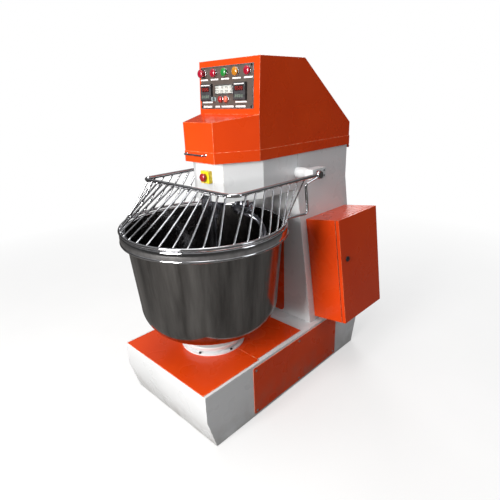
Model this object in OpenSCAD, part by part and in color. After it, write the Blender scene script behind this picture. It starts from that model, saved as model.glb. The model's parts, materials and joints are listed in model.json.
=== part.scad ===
// Spiral dough mixer: floor-standing machine with a fixed, turning bowl, an off-centre
// spiral, a fixed breaker bar, a lifting wire guard and a lift-up drive hood.
// Frame: X right, Y back, Z up. The origin is on the floor under the bowl's axis.

/* [Base] */
// Width of the base
base_w = 600; // [500:10:700]
// Length of the base, front to back
base_len = 1155; // [1100:5:1300]
// Distance from the base's front face to the bowl's axis
base_front = 307; // [280:1:380]
// Height of the base with its deck plates
base_h = 282; // [240:2:360]
// Height at which the sloping toe recess starts
kick_h = 154; // [80:2:180]
// Depth of the toe recess at the floor
kick_in = 42; // [20:2:70]
// Sheet thickness of the base and column
sheet = 4; // [3:0.5:6]
// Thickness of the floor plate
floor_t = 8; // [6:1:12]
// Thickness of the deck plates
deck_t = 4; // [3:0.5:6]
// Half width of the front deck plate
deck_half = 288; // [200:1:292]
// How much narrower the rear deck plate is on each side
deck_step = 9; // [0:1:20]
// Distance from the bowl's axis back to the seam between the deck plates
deck_seam = 16; // [0:1:60]
// Distance from the bowl's axis back to the rear edge of the deck plates
deck_rear = 336; // [200:1:400]

/* [Side panels] */
// Front edge of the side panels, measured back from the bowl's axis
side_y0 = -32; // [-80:1:0]
// Rear edge of the side panels
side_y1 = 621; // [500:1:700]
// Lower edge of the side panels
side_z0 = 14; // [10:1:40]
// Height of the side panels
side_h = 250; // [150:1:250]
// How far the screwed-on panels stand proud of the sheet below
panel_t = 3; // [2:0.5:5]

/* [Column and head] */
// Distance from the bowl's axis back to the column's front face
column_y = 427; // [420:1:480]
// Half width of the head and of the column's upper part
head_half = 181; // [160:1:200]
// Half width of the column at its foot
foot_half = 270; // [220:1:290]
// Height of the head's underside, where the column's sides start to spread
head_z = 970; // [940:1:1040]
// Height of the head's upper edge, inside the hood
head_top = 1150; // [1140:1:1220]
// Distance from the bowl's axis back to the head's front face
head_y = 21; // [10:1:40]
// Half width of the head's front face
head_nose = 58; // [50:1:80]
// Half width of the head where its small and long chamfers meet
head_mid = 97; // [90:1:120]
// Distance from the bowl's axis back to that chamfer corner
head_mid_y = 38; // [30:1:60]
// Distance from the bowl's axis back to where the long chamfers end
head_side_y = 193; // [150:1:240]
// Height of the upper edge of the column's front panel
strip_top = 740; // [600:5:900]
// Half width of that panel
strip_half = 98; // [90:1:120]
// How far that panel laps over the edges of the opening behind it
strip_lap = 10; // [8:1:20]

/* [Hood] */
// Height of the hood's lower edge
hood_z = 1135; // [1120:1:1140]
// Height of the hood above its lower edge
hood_h = 402; // [360:1:440]
// Gap between the head's sides and the inside of the hood
hood_fit = 1; // [0.5:0.5:20]
// How far the lower band stands proud of the hood
band_out = 2; // [1:0.5:4]
// Height of the lower band
band_h = 45; // [30:1:60]
// Sheet thickness of the hood
hood_t = 2.5; // [2:0.5:3]
// Distance from the bowl's axis to the nose's front face (negative is forward)
nose_y = -3; // [-20:1:5]
// Half width of the nose's front face
nose_half = 93; // [85:1:120]
// Height of the nose's upper front edge above the hood's lower edge
nose_h = 161; // [120:1:180]
// Distance from the bowl's axis back to the foot of the control face
face_y = 171; // [150:1:190]
// Height of the control face's foot above the hood's lower edge
face_z = 184; // [165:1:200]
// How far the control face leans back over its height
face_lean = 13; // [5:1:30]
// Distance from the bowl's axis back to the end of the flat top
top_rear = 471; // [400:1:560]
// Height of the hood's upright rear wall
rear_h = 113; // [80:1:160]
// Gap between the column's rear face and the hood's rear wall
rear_gap = 8; // [5:1:14]

/* [Bowl] */
// Outer radius of the bowl at its rim
bowl_r = 345; // [320:1:350]
// Outer radius of the bowl where its knuckle starts
knuckle_r = 316; // [290:1:325]
// Height at which the bowl's knuckle starts
knuckle_z = 520; // [480:1:560]
// Height of the knuckle
knuckle_h = 132; // [100:1:140]
// Radial width of the knuckle
knuckle_w = 129; // [110:1:140]
// Height of the bowl's underside at its axis
bowl_z = 352; // [345:1:380]
// Wall thickness of the bowl
bowl_t = 4; // [3:0.5:6]
// Height of the top of the rim
rim_z = 872; // [840:1:890]
// Height of the rim's rolled collar
rim_h = 46; // [30:1:60]
// How far the collar stands out from the bowl's wall
rim_out = 21; // [15:1:30]
// Radius of the turntable at its foot
table_r = 134; // [120:1:136]
// Radius of the turntable's upper edge
table_top_r = 150; // [138:1:156]
// Radius of the fixed bearing flange under the turntable
flange_r = 152; // [150:1:165]
// Thickness of the fixed bearing flange
flange_t = 6; // [5:1:8]

/* [Drives] */
// Radius of the bowl's shaft
bowl_shaft_r = 30; // [20:1:40]
// Radius of the bowl's pulley
bowl_pulley_r = 225; // [150:1:240]
// Radius of the bowl motor's pulley
bowl_pinion_r = 45; // [30:1:60]
// Distance from the bowl's axis back to the bowl motor
bowl_motor_y = 600; // [560:1:660]
// Sideways distance of the spiral's axis from the bowl's axis
spiral_x = 72; // [60:1:80]
// Distance from the bowl's axis back to the spiral's axis
spiral_y = 170; // [165:1:180]
// Radius of the spiral's shaft
spiral_shaft_r = 27; // [20:1:32]
// Radius of the spiral's pulley
spiral_pulley_r = 80; // [60:1:84]
// Radius of the spiral motor's pulley
spiral_pinion_r = 40; // [30:1:50]
// Distance from the bowl's axis back to the spiral motor
spiral_motor_y = 640; // [600:1:680]
// Radius of both motors' bodies
motor_r = 88; // [70:1:100]
// Width of the pulleys
pulley_w = 40; // [30:1:50]

/* [Spiral and breaker bar] */
// Radius of the spiral's coil at its rod's centreline
coil_r = 94; // [70:1:96]
// Radius of the spiral's rod
coil_rod = 15; // [10:1:16]
// Height of the spiral's lowest point
coil_z = 415; // [412:1:500]
// Turns of the spiral
coil_turns = 1.4; // [1:0.1:2]
// Radius of the spiral's hub disc
hub_r = 54; // [45:1:60]
// Thickness of the spiral's hub disc
hub_t = 20; // [14:1:30]
// Height of the hub disc's underside
hub_z = 912; // [900:1:925]
// Radius of the breaker bar
bar_r = 18; // [12:1:20]
// Distance from the bowl's axis back to the breaker bar
bar_y = 45; // [44:1:50]
// Height of the breaker bar's lower end
bar_z = 400; // [390:1:500]

/* [Guard] */
// Height of the guard's top rail and of its pivot
rail_z = 1050; // [1030:1:1070]
// Distance from the bowl's axis forward to the top rail's front
rail_front = 100; // [90:1:115]
// Half width of the top rail
rail_half = 300; // [285:1:320]
// Bend radius of the top rail's front corners
rail_bend = 42; // [30:1:60]
// Radius of the top rail's tube
rail_rod = 8; // [6:0.5:10]
// Radius of the guard's lower ring at its rod's centreline
ring_r = 360; // [352:1:366]
// Radius of the lower ring's rod
ring_rod = 6; // [5:0.5:8]
// Gap between the rim and the lower ring
ring_gap = 3; // [2:0.5:8]
// Radius of the guard's bars
bar_rod = 4; // [3:0.5:5]
// Angle between the feet of neighbouring bars
bar_step = 9; // [9:0.5:12]
// Number of bars on each side of the middle
bars_half = 15; // [10:1:15]
// Number of those bars that end on the rail's straight front
bars_front = 7; // [5:1:7]
// Distance from the bowl's axis back to the guard's pivot
pivot_y = 428; // [410:1:450]
// Radius of the pivot spindles
spindle_r = 9; // [7:0.5:11]

/* [Electrical box] */
// Height of the box's upper inner edge
box_top = 816; // [780:1:860]
// Height of the box along the column's slanted side
box_h = 520; // [400:5:530]
// Distance from the bowl's axis back to the box's front
box_y = 472; // [460:1:520]
// Length of the box, front to back
box_len = 350; // [280:5:360]
// Depth of the box without its door
box_d = 165; // [120:1:180]
// Thickness of the door
door_t = 18; // [14:1:24]
// Gap between the door and the box, filled by the seal
door_gap = 3; // [2:0.5:4]
// Sheet thickness of the box
box_t = 2.5; // [2:0.5:4]
// Distance from the door's front edge to the lock
lock_in = 50; // [30:1:80]
// Distance from the door's top edge down to the lock
lock_down = 198; // [100:1:260]
// Radius of the lock's barrel
lock_r = 10; // [8:0.5:14]

/* [Control panel] */
// Width of the control plate
plate_w = 324; // [324:1:340]
// Height of the control plate
plate_h = 172; // [172:1:185]
// Sideways place of the control plate's middle
plate_x = -9; // [-10:1:0]
// Height of the control plate's lower edge above the control face's foot
plate_v = 22; // [14:1:30]
// Distance between the upper row's buttons
button_step = 68; // [60:1:70]
// Radius of the button caps
button_r = 14; // [11:0.5:14]
// How far the button caps travel
button_travel = 4; // [2:0.5:5]
// Side of the square timer faces
timer_w = 70; // [60:1:72]
// Radius of the small push buttons
small_r = 13; // [9:0.5:14]
// Radius of the selector knob
knob_r = 11; // [9:0.5:15]
// Gap between the selector knob and the timer beside it
knob_gap = 1.5; // [1:0.5:3]

/* [Emergency stop] */
// Side of the square stop box
estop_w = 52; // [44:1:60]
// Depth of the stop box
estop_d = 20; // [16:1:30]
// Sideways place of the stop box's middle
estop_x = 20; // [0:1:25]
// Height of the stop box's middle
estop_z = 1076; // [1040:1:1090]
// Radius of the stop button's mushroom
estop_r = 18; // [14:0.5:22]
// How far the stop button travels
estop_travel = 4; // [3:0.5:5]

/* [Small parts] */
// Radius of the hood's hinge pins
hinge_r = 4; // [3:0.5:6]
// Outer radius of the hood's hinge knuckles
knuckle_out = 7; // [6:0.5:9]
// Length of one hood hinge
hinge_len = 72; // [48:1:100]
// Radius of the door's hinge pins
door_pin_r = 3; // [2:0.5:4]
// Radius of the lift handle's rod
handle_r = 4; // [3:0.5:6]
// Bore radius of the supply cable's gland
gland_r = 8; // [6:0.5:12]
// Radius of the cover screws' heads
screw_r = 6; // [4:0.5:8]

/* [Hidden] */
$fn = 64;
run = 0.05;        // running clearance of a shaft or pin in its bore, on the radius
free = 0.4;        // gap between pieces that move past each other
weld = 0.1;        // gap at a welded bar's end
low_fn = 24;       // sides of small round trim
base_rear = base_len - base_front;
deck_z = base_h - deck_t;
hood_top = hood_z + hood_h;
hood_half = head_half + hood_fit + hood_t;
hood_rear = base_rear + rear_gap + hood_t;
spread = (foot_half - head_half) / (head_z - base_h);
wall_angle = atan(spread);
face_angle = atan(face_lean / (hood_h - face_z));
// Distance from the spiral's axis to the inner side of the head's long chamfer.
chamfer_reach = ((head_mid - spiral_x) * (head_side_y - head_mid_y)
    - (head_mid_y - spiral_y) * (head_half - head_mid))
    / norm([head_half - head_mid, head_side_y - head_mid_y]) - sheet;
ring_z = rim_z + ring_gap + ring_rod;
ring_y = -4;       // the lower ring's centre, a little in front of the bowl's axis
ring_end = 134;    // half angle that the lower ring spans, from its front
frame_y = 373;     // distance back to the end frames' upright rods
frame_x = 283;     // half distance between those rods
frame_z = rail_z - 32;
head_floor = 8;    // thickness of the head's bottom plate
head_roof = 6;     // thickness of the top plates of the head and column
table_z = base_h + flange_t;
strip_foot = base_h + 8;   // lower edge of the column's front panel
floor_r = table_r - 25;   // radius and rise of the bowl's shallow cone, which rests on the turntable
floor_rise = 2;
bearing_w = 25;
belt_t = 8;
groove = belt_t + 2;
bowl_pulley_z = 36;
spiral_pulley_z = head_top + 24;
motor_stand = 92;
motor_len = 270;
hinge_y = hood_rear + 4;
hinge_z = hood_z - 10;
hinge_x = 110;
box_x = head_half + (head_z - box_top) * spread;
door_x = box_d + door_gap;
door_axis_x = door_x + 4;
door_axis_y = box_y + box_len + 7;
panel_row = plate_v + plate_h - 27;
timer_v = plate_v + 68;
button_x0 = plate_x - 2 - 2 * button_step;
push_x = [plate_x - 29, plate_x + 6];
small_v = plate_v + 39;   // the lower row of the small push buttons and the selector knob
timer_x = [plate_x - 118, plate_x + 92];
knob_x = timer_x[0] + timer_w / 2 + knob_gap + knob_r;
guard_block_x = rail_half - 13;

orange = [0.86, 0.22, 0.05];
white = [0.87, 0.89, 0.91];
steel = [0.62, 0.63, 0.65];
chrome = [0.82, 0.83, 0.85];
iron = [0.35, 0.36, 0.38];
black = [0.08, 0.08, 0.09];

// ---- shared shapes ----

// An outline in the YZ plane, carried across X between x0 and x1.
module across(x0, x1) {
    translate([x0, 0, 0]) rotate([90, 0, 90]) linear_extrude(x1 - x0) children();
}

// An outline in the XZ plane, carried along Y between y0 and y1.
module along(y0, y1) {
    translate([0, y1, 0]) rotate([90, 0, 0]) linear_extrude(y1 - y0) children();
}

module upright(z0, z1, r) {
    translate([0, 0, z0]) cylinder(r = r, h = z1 - z0);
}

module ring(z0, z1, r_out, r_in) {
    difference() {
        upright(z0, z1, r_out);
        upright(z0 - 1, z1 + 1, r_in);
    }
}

// A straight rod between two points.
module rod(a, b, r) {
    d = b - a;
    len = norm(d);
    translate(a) rotate([0, acos(d[2] / len), atan2(d[1], d[0])]) cylinder(r = r, h = len, $fn = low_fn);
}

module ball(p, r) {
    translate(p) sphere(r = r, $fn = low_fn);
}

module mirrored() {
    children();
    mirror([1, 0, 0]) children();
}

// A V-belt pulley with its groove, standing on z0.
module sheave(z0, r, bore) {
    top = z0 + pulley_w;
    lip = r + 4;
    rotate_extrude() polygon([[bore, z0], [lip, z0], [lip, z0 + 5], [r - groove, z0 + 11],
        [r - groove, top - 11], [lip, top - 5], [lip, top], [bore, top]]);
}

// The area that a belt encloses round two wheels, a at radius ra and b at radius rb.
module belt_area(a, ra, b, rb) {
    d = b - a;
    dist = norm(d);
    turn = atan2(d[1], d[0]);
    lean = acos((ra - rb) / dist);
    p = [for (s = [1, -1]) [cos(turn + s * lean), sin(turn + s * lean)]];
    translate(a) circle(r = ra);
    translate(b) circle(r = rb);
    polygon([a + ra * p[0], b + rb * p[0], b + rb * p[1], a + ra * p[1]]);
}

// A belt of belt_t thickness that lies in two sheaves' grooves.
module belt(a, ra, b, rb, z0) {
    floor_gap = free - groove;
    translate([0, 0, z0 + 14]) linear_extrude(pulley_w - 28) difference() {
        belt_area(a, ra + floor_gap + belt_t, b, rb + floor_gap + belt_t);
        belt_area(a, ra + floor_gap, b, rb + floor_gap);
    }
}

// A finned motor body that stands on z0, with its cowl on top.
module motor_body(z0, r, len) {
    fins = 20;
    upright(z0, z0 + 12, r);
    upright(z0 + 12, z0 + len - 60, r - 12);
    upright(z0 + len - 60, z0 + len, r);
    for (i = [0 : fins - 1]) rotate([0, 0, i * 360 / fins])
        translate([0, -1.5, z0 + 12]) cube([r - 3, 3, len - 72]);
}

// A hinge knuckle and its leaf along X, with the pin's bore at hinge_y, hinge_z.
module knuckle(x0, x1, bore) {
    along_x(x0, x1) difference() {
        circle(r = knuckle_out);
        circle(r = bore);
    }
}

// An outline round the hood's hinge axis, carried along X.
module along_x(x0, x1) {
    translate([x0, hinge_y, hinge_z]) rotate([90, 0, 90]) linear_extrude(x1 - x0) children();
}

// ---- base ----

function base_outline(t) = [
    [-base_front + t, deck_z - t], [-base_front + t, kick_h], [-base_front + kick_in + t, 0],
    [base_rear - kick_in - t, 0], [base_rear - t, kick_h], [base_rear - t, deck_z - t]];

module gland_place(z0, z1, r) {
    translate([-base_w / 3, base_rear, (kick_h + deck_z) / 2]) rotate([-90, 0, 0])
        translate([0, 0, z0]) cylinder(r = r, h = z1 - z0);
}

module base_shell() {
    inner = base_w / 2 - sheet;
    window = 12;
    color(white) difference() {
        across(-base_w / 2, base_w / 2) polygon(base_outline(0));
        across(-inner, inner) polygon(base_outline(sheet));
        translate([-base_w / 2 - 1, side_y0 + window, side_z0 + window])
            cube([base_w + 2, side_y1 - side_y0 - 2 * window, side_h - 2 * window]);
        upright(deck_z - 2 * sheet, deck_z + 1, flange_r - 40);
        translate([1 - head_half, column_y + 20, deck_z - 2 * sheet])
            cube([2 * head_half - 2, base_rear - column_y - 40, 3 * sheet]);
        gland_place(-2 * sheet, 1, gland_r + 4);
    }
}

module base_floor_plate() {
    half = base_w / 2 - sheet;
    y_low = base_front - kick_in - sheet;
    slope = kick_in / kick_h * floor_t;
    rear_low = base_rear - kick_in - sheet;
    leg = motor_r + 24;
    color(steel) {
        across(-half, half) polygon([[-y_low, 0], [rear_low, 0], [rear_low + slope, floor_t],
            [-y_low - slope, floor_t]]);
        for (s = [-1, 1]) translate([s * leg - 4, bowl_motor_y - 90, floor_t])
            cube([8, 180, motor_stand - 8 - floor_t]);
        difference() {
            translate([-leg - 4, bowl_motor_y - 90, motor_stand - 8]) cube([2 * leg + 8, 180, 8]);
            translate([0, bowl_motor_y, 0]) upright(0, motor_stand + 1, 30);
        }
    }
}

// A deck plate between y0 and y1, cut out round the bowl's flange.
module deck_plate(half, y0, y1) {
    color(orange) difference() {
        translate([-half, y0, deck_z]) cube([2 * half, y1 - y0, deck_t]);
        upright(deck_z - 1, base_h + 1, flange_r - 40);
    }
}

module front_deck_plate() deck_plate(deck_half, -base_front, deck_seam - free);
module rear_deck_plate() deck_plate(deck_half - deck_step, deck_seam + free, deck_rear);

module side_panel_right() {
    corner = 8;
    color(orange) translate([base_w / 2, 0, 0]) rotate([90, 0, 90]) linear_extrude(panel_t)
        union() {
            translate([side_y0 + corner, side_z0]) square([side_y1 - side_y0 - 2 * corner, side_h]);
            translate([side_y0, side_z0 + corner]) square([side_y1 - side_y0, side_h - 2 * corner]);
            for (y = [side_y0 + corner, side_y1 - corner],
                z = [side_z0 + corner, side_z0 + side_h - corner]) translate([y, z]) circle(r = corner);
        }
}

module side_panel_left() mirror([1, 0, 0]) side_panel_right();

// ---- column and head ----

function column_half(z) = z > head_z ? head_half : head_half + (head_z - z) * spread;

module column_outline(t, z0, z1) {
    right = [[column_half(z0) - t, z0], [head_half - t, head_z], [head_half - t, z1]];
    polygon(concat(right, [for (i = [2 : -1 : 0]) [-right[i][0], right[i][1]]]));
}

module column_shell() {
    strip = strip_half - strip_lap;   // half width of the opening behind the front panel
    strip_z = strip_foot + strip_lap; // its lower edge
    vent = [300, 740];                // width and height of the opening behind the rear cover
    duct = 140;                       // half width of the passage into the head
    color(white) difference() {
        along(column_y, base_rear) column_outline(0, deck_z, head_top);
        along(column_y + sheet, base_rear - sheet)
            column_outline(sheet, deck_z - 1, head_top - head_roof);
        translate([-strip, column_y - 1, strip_z])
            cube([2 * strip, sheet + 2, strip_top - strip_lap - strip_z]);
        translate([-vent[0] / 2, base_rear - sheet - 1, 330]) cube([vent[0], sheet + 2, vent[1]]);
        translate([-duct, column_y - 1, head_z + head_floor + 20])
            cube([2 * duct, sheet + 2, head_top - head_z - 60]);
        translate([0, spiral_motor_y, 0]) upright(head_top - head_roof - 1, head_top + 1, 46);
    }
}

module column_front_panel() {
    half = strip_half;
    corner = 26;
    tall = strip_top - strip_foot;
    color(orange) along(column_y - panel_t, column_y) union() {
        translate([-half, strip_foot + corner]) square([2 * half, tall - 2 * corner]);
        translate([corner - half, strip_foot]) square([2 * (half - corner), tall]);
        for (s = [-1, 1], z = [strip_foot + corner, strip_top - corner])
            translate([s * (half - corner), z]) circle(r = corner);
    }
}

module rear_cover() {
    half = 165;
    slots = 9;
    color(white) difference() {
        translate([-half, base_rear, 315]) cube([2 * half, panel_t, 770]);
        for (i = [0 : slots - 1], s = [-1, 1])
            translate([s * 75 - 55, base_rear - 1, 420 + i * 22]) cube([110, panel_t + 2, 8]);
    }
}

function head_outline(t) =
    let (m = (head_side_y - head_mid_y) / (head_half - head_mid),
        c = (head_mid_y - head_y) / (head_mid - head_nose),
        k = sqrt(1 + m * m), q = sqrt(1 + c * c),
        side = head_side_y + t * (k - m),
        nose = head_nose - t * (q - 1) / c,
        mid_x = (head_mid_y - m * head_mid + t * k - head_mid_y + c * head_mid - t * q) / (c - m),
        mid_y = head_mid_y + m * (mid_x - head_mid) + t * k,
        half = [[nose, head_y + t], [mid_x, mid_y], [head_half - t, side], [head_half - t, column_y]])
    concat(half, [for (i = [3 : -1 : 0]) [-half[i][0], half[i][1]]]);

module head_casing() {
    hole = spiral_shaft_r + 34;
    color(white) difference() {
        translate([0, 0, head_z]) linear_extrude(head_top - head_z) polygon(head_outline(0));
        translate([0, 0, head_z + head_floor]) linear_extrude(head_top - head_z - head_floor - head_roof)
            polygon(head_outline(sheet));
        translate([-140, column_y - sheet, head_z + head_floor + 20])
            cube([280, 2 * sheet, head_top - head_z - 60]);
        translate([spiral_x, spiral_y, 0]) upright(head_z - 1, head_top + 1, hole);
    }
}

module screw_heads(y, x0, z0, z1, n) {
    for (s = [-1, 1], i = [0 : n - 1]) translate([s * x0, y, z0 + (z1 - z0) * i / (n - 1)])
        rotate([-90, 0, 0]) cylinder(r = screw_r, h = 3);
}

module cover_screws() {
    inset = 16;
    color(steel) {
        screw_heads(base_rear + panel_t, 152, 335, 1065, 4);
        for (y = [side_y0 + inset, (side_y0 + side_y1) / 2, side_y1 - inset],
            z = [side_z0 + inset, side_z0 + side_h - inset], s = [-1, 1])
            translate([s * (base_w / 2 + panel_t), y, z]) rotate([0, s * 90, 0]) cylinder(r = screw_r, h = 2);
    }
}

// ---- bowl drive in the base ----

module bowl_bearing_housing() {
    barrel = bowl_shaft_r + 46;
    seat = bowl_shaft_r + 25;
    color(white) difference() {
        union() {
            upright(base_h, table_z, flange_r);
            upright(110, base_h, barrel);
        }
        upright(100, table_z + 1, bowl_shaft_r + 6);
        upright(109, 110 + bearing_w, seat);
        upright(table_z - bearing_w, table_z + 1, seat);
    }
}

module bearing(z0, r) {
    ring(z0, z0 + bearing_w, r + 25, r + run);
}

module shaft_bearings() {
    color(steel) {
        bearing(110, bowl_shaft_r);
        bearing(table_z - bearing_w, bowl_shaft_r);
        translate([spiral_x, spiral_y, 0]) {
            bearing(head_z + head_floor + 12, spiral_shaft_r);
            bearing(head_top - 12 - bearing_w, spiral_shaft_r);
        }
    }
}

module bowl_motor() {
    color(iron) translate([0, bowl_motor_y, 0]) difference() {
        motor_body(motor_stand, motor_r, motor_len);
        upright(motor_stand - 1, motor_stand + 61, 14 + free);
    }
}

module bowl_belt() {
    color(black) belt([0, 0], bowl_pulley_r, [0, bowl_motor_y], bowl_pinion_r, bowl_pulley_z);
}

module bowl_pulley() {
    color(iron) sheave(bowl_pulley_z, bowl_pulley_r, bowl_shaft_r);
}

module bowl_motor_pulley() {
    color(iron) translate([0, bowl_motor_y, 0]) union() {
        sheave(bowl_pulley_z, bowl_pinion_r, 10);
        upright(bowl_pulley_z, motor_stand + 60, 14);
    }
}

module bowl_shaft() {
    color(steel) upright(bowl_pulley_z - 6, table_z + 1, bowl_shaft_r);
}

// ---- spiral drive in the head ----

module spiral_bearing_housing() {
    z0 = head_z + head_floor;
    barrel = spiral_shaft_r + 33;
    seat = spiral_shaft_r + 25;
    color(white) translate([spiral_x, spiral_y, 0]) difference() {
        union() {
            upright(head_z, head_top - 12, barrel);
            upright(z0, z0 + 12, min(barrel + 18, chamfer_reach - 2));
        }
        upright(head_z - 1, head_top + 1, spiral_shaft_r + 6);
        upright(z0 + 12, z0 + 12 + bearing_w, seat);
        upright(head_top - 12 - bearing_w, head_top, seat);
    }
}

module spiral_motor() {
    top = head_top - head_roof;
    color(iron) translate([0, spiral_motor_y, top]) mirror([0, 0, 1]) difference() {
        motor_body(0, motor_r, motor_len + 40);
        upright(-1, 61, 14 + free);
    }
}

module spiral_belt() {
    color(black) belt([spiral_x, spiral_y], spiral_pulley_r, [0, spiral_motor_y], spiral_pinion_r,
        spiral_pulley_z);
}

module spiral_pulley() {
    color(iron) translate([spiral_x, spiral_y, 0]) sheave(spiral_pulley_z, spiral_pulley_r, spiral_shaft_r);
}

module spiral_motor_pulley() {
    color(iron) translate([0, spiral_motor_y, 0]) union() {
        sheave(spiral_pulley_z, spiral_pinion_r, 10);
        upright(head_top - head_roof - 60, spiral_pulley_z + pulley_w, 14);
    }
}

module spiral_shaft() {
    color(steel) translate([spiral_x, spiral_y, 0]) {
        upright(hub_z, hub_z + hub_t, hub_r);
        upright(hub_z + hub_t, spiral_pulley_z + pulley_w + 6, spiral_shaft_r);
    }
}

// The spiral's centreline: it leaves the hub near the shaft, winds down at full radius
// and turns in again to its lowest point. u runs from 0 at the hub to 1 at the tip.
coil_rings = 72;
coil_sides = 10;
coil_top = hub_z - coil_rod + 6;
function ease(a) = let (b = max(0, min(1, a))) b * b * (3 - 2 * b);
function coil_radius(u) = 22 + (coil_r - 22) * ease(u / 0.13) - (coil_r - 24) * ease((u - 0.7) / 0.3);
function coil_point(u) =
    let (a = 200 - 360 * coil_turns * u, r = coil_radius(u),
        h = coil_top - (coil_top - coil_z - coil_rod) * (0.25 * u + 0.75 * ease(u)))
    [spiral_x + r * cos(a), spiral_y + r * sin(a), h];
function unit(v) = v / norm(v);

module spiral_hook() {
    u = [for (i = [0 : coil_rings]) i / coil_rings];
    c = [for (t = u) coil_point(t)];
    ahead = [for (i = [0 : coil_rings]) unit(c[min(i + 1, coil_rings)] - c[max(i - 1, 0)])];
    side = [for (i = [0 : coil_rings]) unit(cross(ahead[i], [0, 0, 1]))];
    up = [for (i = [0 : coil_rings]) cross(side[i], ahead[i])];
    pts = [for (i = [0 : coil_rings], k = [0 : coil_sides - 1])
        c[i] + coil_rod * (cos(k * 360 / coil_sides) * side[i] + sin(k * 360 / coil_sides) * up[i])];
    walls = [for (i = [0 : coil_rings - 1], k = [0 : coil_sides - 1])
        let (n = (k + 1) % coil_sides, a = i * coil_sides)
        [a + k, a + n, a + n + coil_sides, a + k + coil_sides]];
    last = coil_rings * coil_sides;
    color(steel) difference() {
        polyhedron(pts, concat(walls, [[for (k = [coil_sides - 1 : -1 : 0]) k]],
            [[for (k = [0 : coil_sides - 1]) last + k]]));
        translate([spiral_x, spiral_y, 0]) upright(hub_z, hub_z + hub_t + 40, hub_r + 40);
    }
}

// ---- breaker bar ----

module breaker_bar() {
    tab = 32;
    color(steel) {
        translate([-tab, head_y - 6, 892]) cube([2 * tab, 6, head_z + 24 - 892]);
        difference() {
            across(-6, 6) polygon([[head_y, head_z], [head_y, 892], [bar_y + bar_r + 6, 880],
                [bar_y + 95, head_z]]);
            translate([0, bar_y, 0]) upright(bar_z, head_z + 1, bar_r);
        }
        translate([0, bar_y, 0]) upright(bar_z + bar_r, head_z, bar_r);
        translate([0, bar_y, bar_z + bar_r]) sphere(r = bar_r);
    }
}

module machine_bolts() {
    color(iron) {
        for (s = [-1, 1]) translate([s * 22, head_y - 6, head_z + 11]) rotate([90, 0, 0])
            cylinder(r = 7, h = 5, $fn = 6);
        for (i = [0 : 5]) rotate([0, 0, -6 + 60 * i]) translate([flange_r - 8, 0, table_z])
            cylinder(r = 6, h = 5, $fn = 6);
    }
}

// ---- emergency stop ----

module estop_box() {
    front = head_y - estop_d;
    color("gold") difference() {
        translate([estop_x - estop_w / 2, front, estop_z - estop_w / 2]) cube([estop_w, estop_d, estop_w]);
        translate([estop_x, front - 1, estop_z]) rotate([-90, 0, 0]) cylinder(r = 8 + free, h = estop_d - 2);
    }
}

module estop_button() {
    front = head_y - estop_d;
    cap = 14;
    color("firebrick") translate([estop_x, front - estop_travel - 2, estop_z]) rotate([90, 0, 0]) {
        translate([0, 0, -14]) cylinder(r = 8, h = 14);
        rotate_extrude() polygon(concat([[0, 0], [estop_r - 3, 0]],
            [for (a = [0 : 15 : 90]) [estop_r - 6 + 6 * cos(a), cap - 6 + 6 * sin(a)]], [[0, cap]]));
    }
}

// ---- guard ----

pivot_wall = column_half(rail_z);

module on_pivot(x0, x1, r) {
    translate([x0, pivot_y, rail_z]) rotate([0, 90, 0]) cylinder(r = r, h = x1 - x0);
}

// On each side a boss on the column carries the guard's switch box.
module guard_pivot_mounts() {
    box_w = 44;
    x0 = guard_block_x - box_w;
    color(white) mirrored() difference() {
        union() {
            on_pivot(pivot_wall, x0, 25);
            translate([x0, pivot_y - 27, rail_z - 24]) cube([box_w - free, 100, 48]);
        }
        on_pivot(pivot_wall + 10, guard_block_x + 1, spindle_r);
    }
}

module guard_spindles() {
    color(chrome) mirrored() {
        on_pivot(pivot_wall + 10, rail_half + 14, spindle_r);
        on_pivot(rail_half + 9 + free, rail_half + 14, spindle_r + 7);
        for (z = [-12, 12]) translate([guard_block_x - free, pivot_y + 58, rail_z + z])
            rotate([0, 90, 0]) cylinder(r = 4, h = 4);
    }
}

function ring_point(a) = [ring_r * sin(a), ring_y - ring_r * cos(a), ring_z];

module guard_rods() {
    x = rail_half;
    y = -rail_front;
    b = rail_bend;
    rod([b - x, y, rail_z], [x - b, y, rail_z], rail_rod);
    mirrored() {
        rod([x, y + b, rail_z], [x, pivot_y - 14, rail_z], rail_rod);
        translate([x - b, y + b, rail_z]) rotate([0, 0, -90]) rotate_extrude(angle = 90)
            translate([b, 0]) circle(r = rail_rod, $fn = low_fn);
    }
    translate([0, ring_y, ring_z]) rotate([0, 0, -90 - ring_end]) rotate_extrude(angle = 2 * ring_end)
        translate([ring_r, 0]) circle(r = ring_rod, $fn = low_fn);
    mirrored() {
        e = ring_point(ring_end);
        corners = [e, [frame_x, frame_y, ring_z], [frame_x, frame_y - 18, frame_z],
            [rail_half, pivot_y - 16, rail_z - 10]];
        for (i = [0 : 2]) rod(corners[i], corners[i + 1], ring_rod);
        for (i = [0 : 3]) ball(corners[i], ring_rod + 0.7);
    }
}

module guard_frame() {
    color(chrome) difference() {
        union() {
            guard_rods();
            mirrored() on_pivot(rail_half - 9, rail_half + 9, 19);
        }
        mirrored() on_pivot(rail_half - 12, rail_half + 12, spindle_r + run);
    }
}

// Feet stand bar_step apart round the lower ring; heads are spaced evenly along the
// rail's front and then along its sides.
function bar_foot(i) = ring_point(bar_step * (i + 0.5));
function bar_head(i) = i < bars_front
    ? [(i + 0.5) * (rail_half - rail_bend) / (bars_front - 0.5), -rail_front, rail_z]
    : [rail_half, -rail_front + rail_bend + (i - bars_front + 0.5)
        * (frame_y - 24 + rail_front - rail_bend) / (bars_half - bars_front), rail_z];

function foot_run(i) = let (a = bar_step * (i + 0.5)) [cos(a), sin(a), 0];
function head_run(i) = i < bars_front ? [1, 0, 0] : [0, 1, 0];

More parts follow.
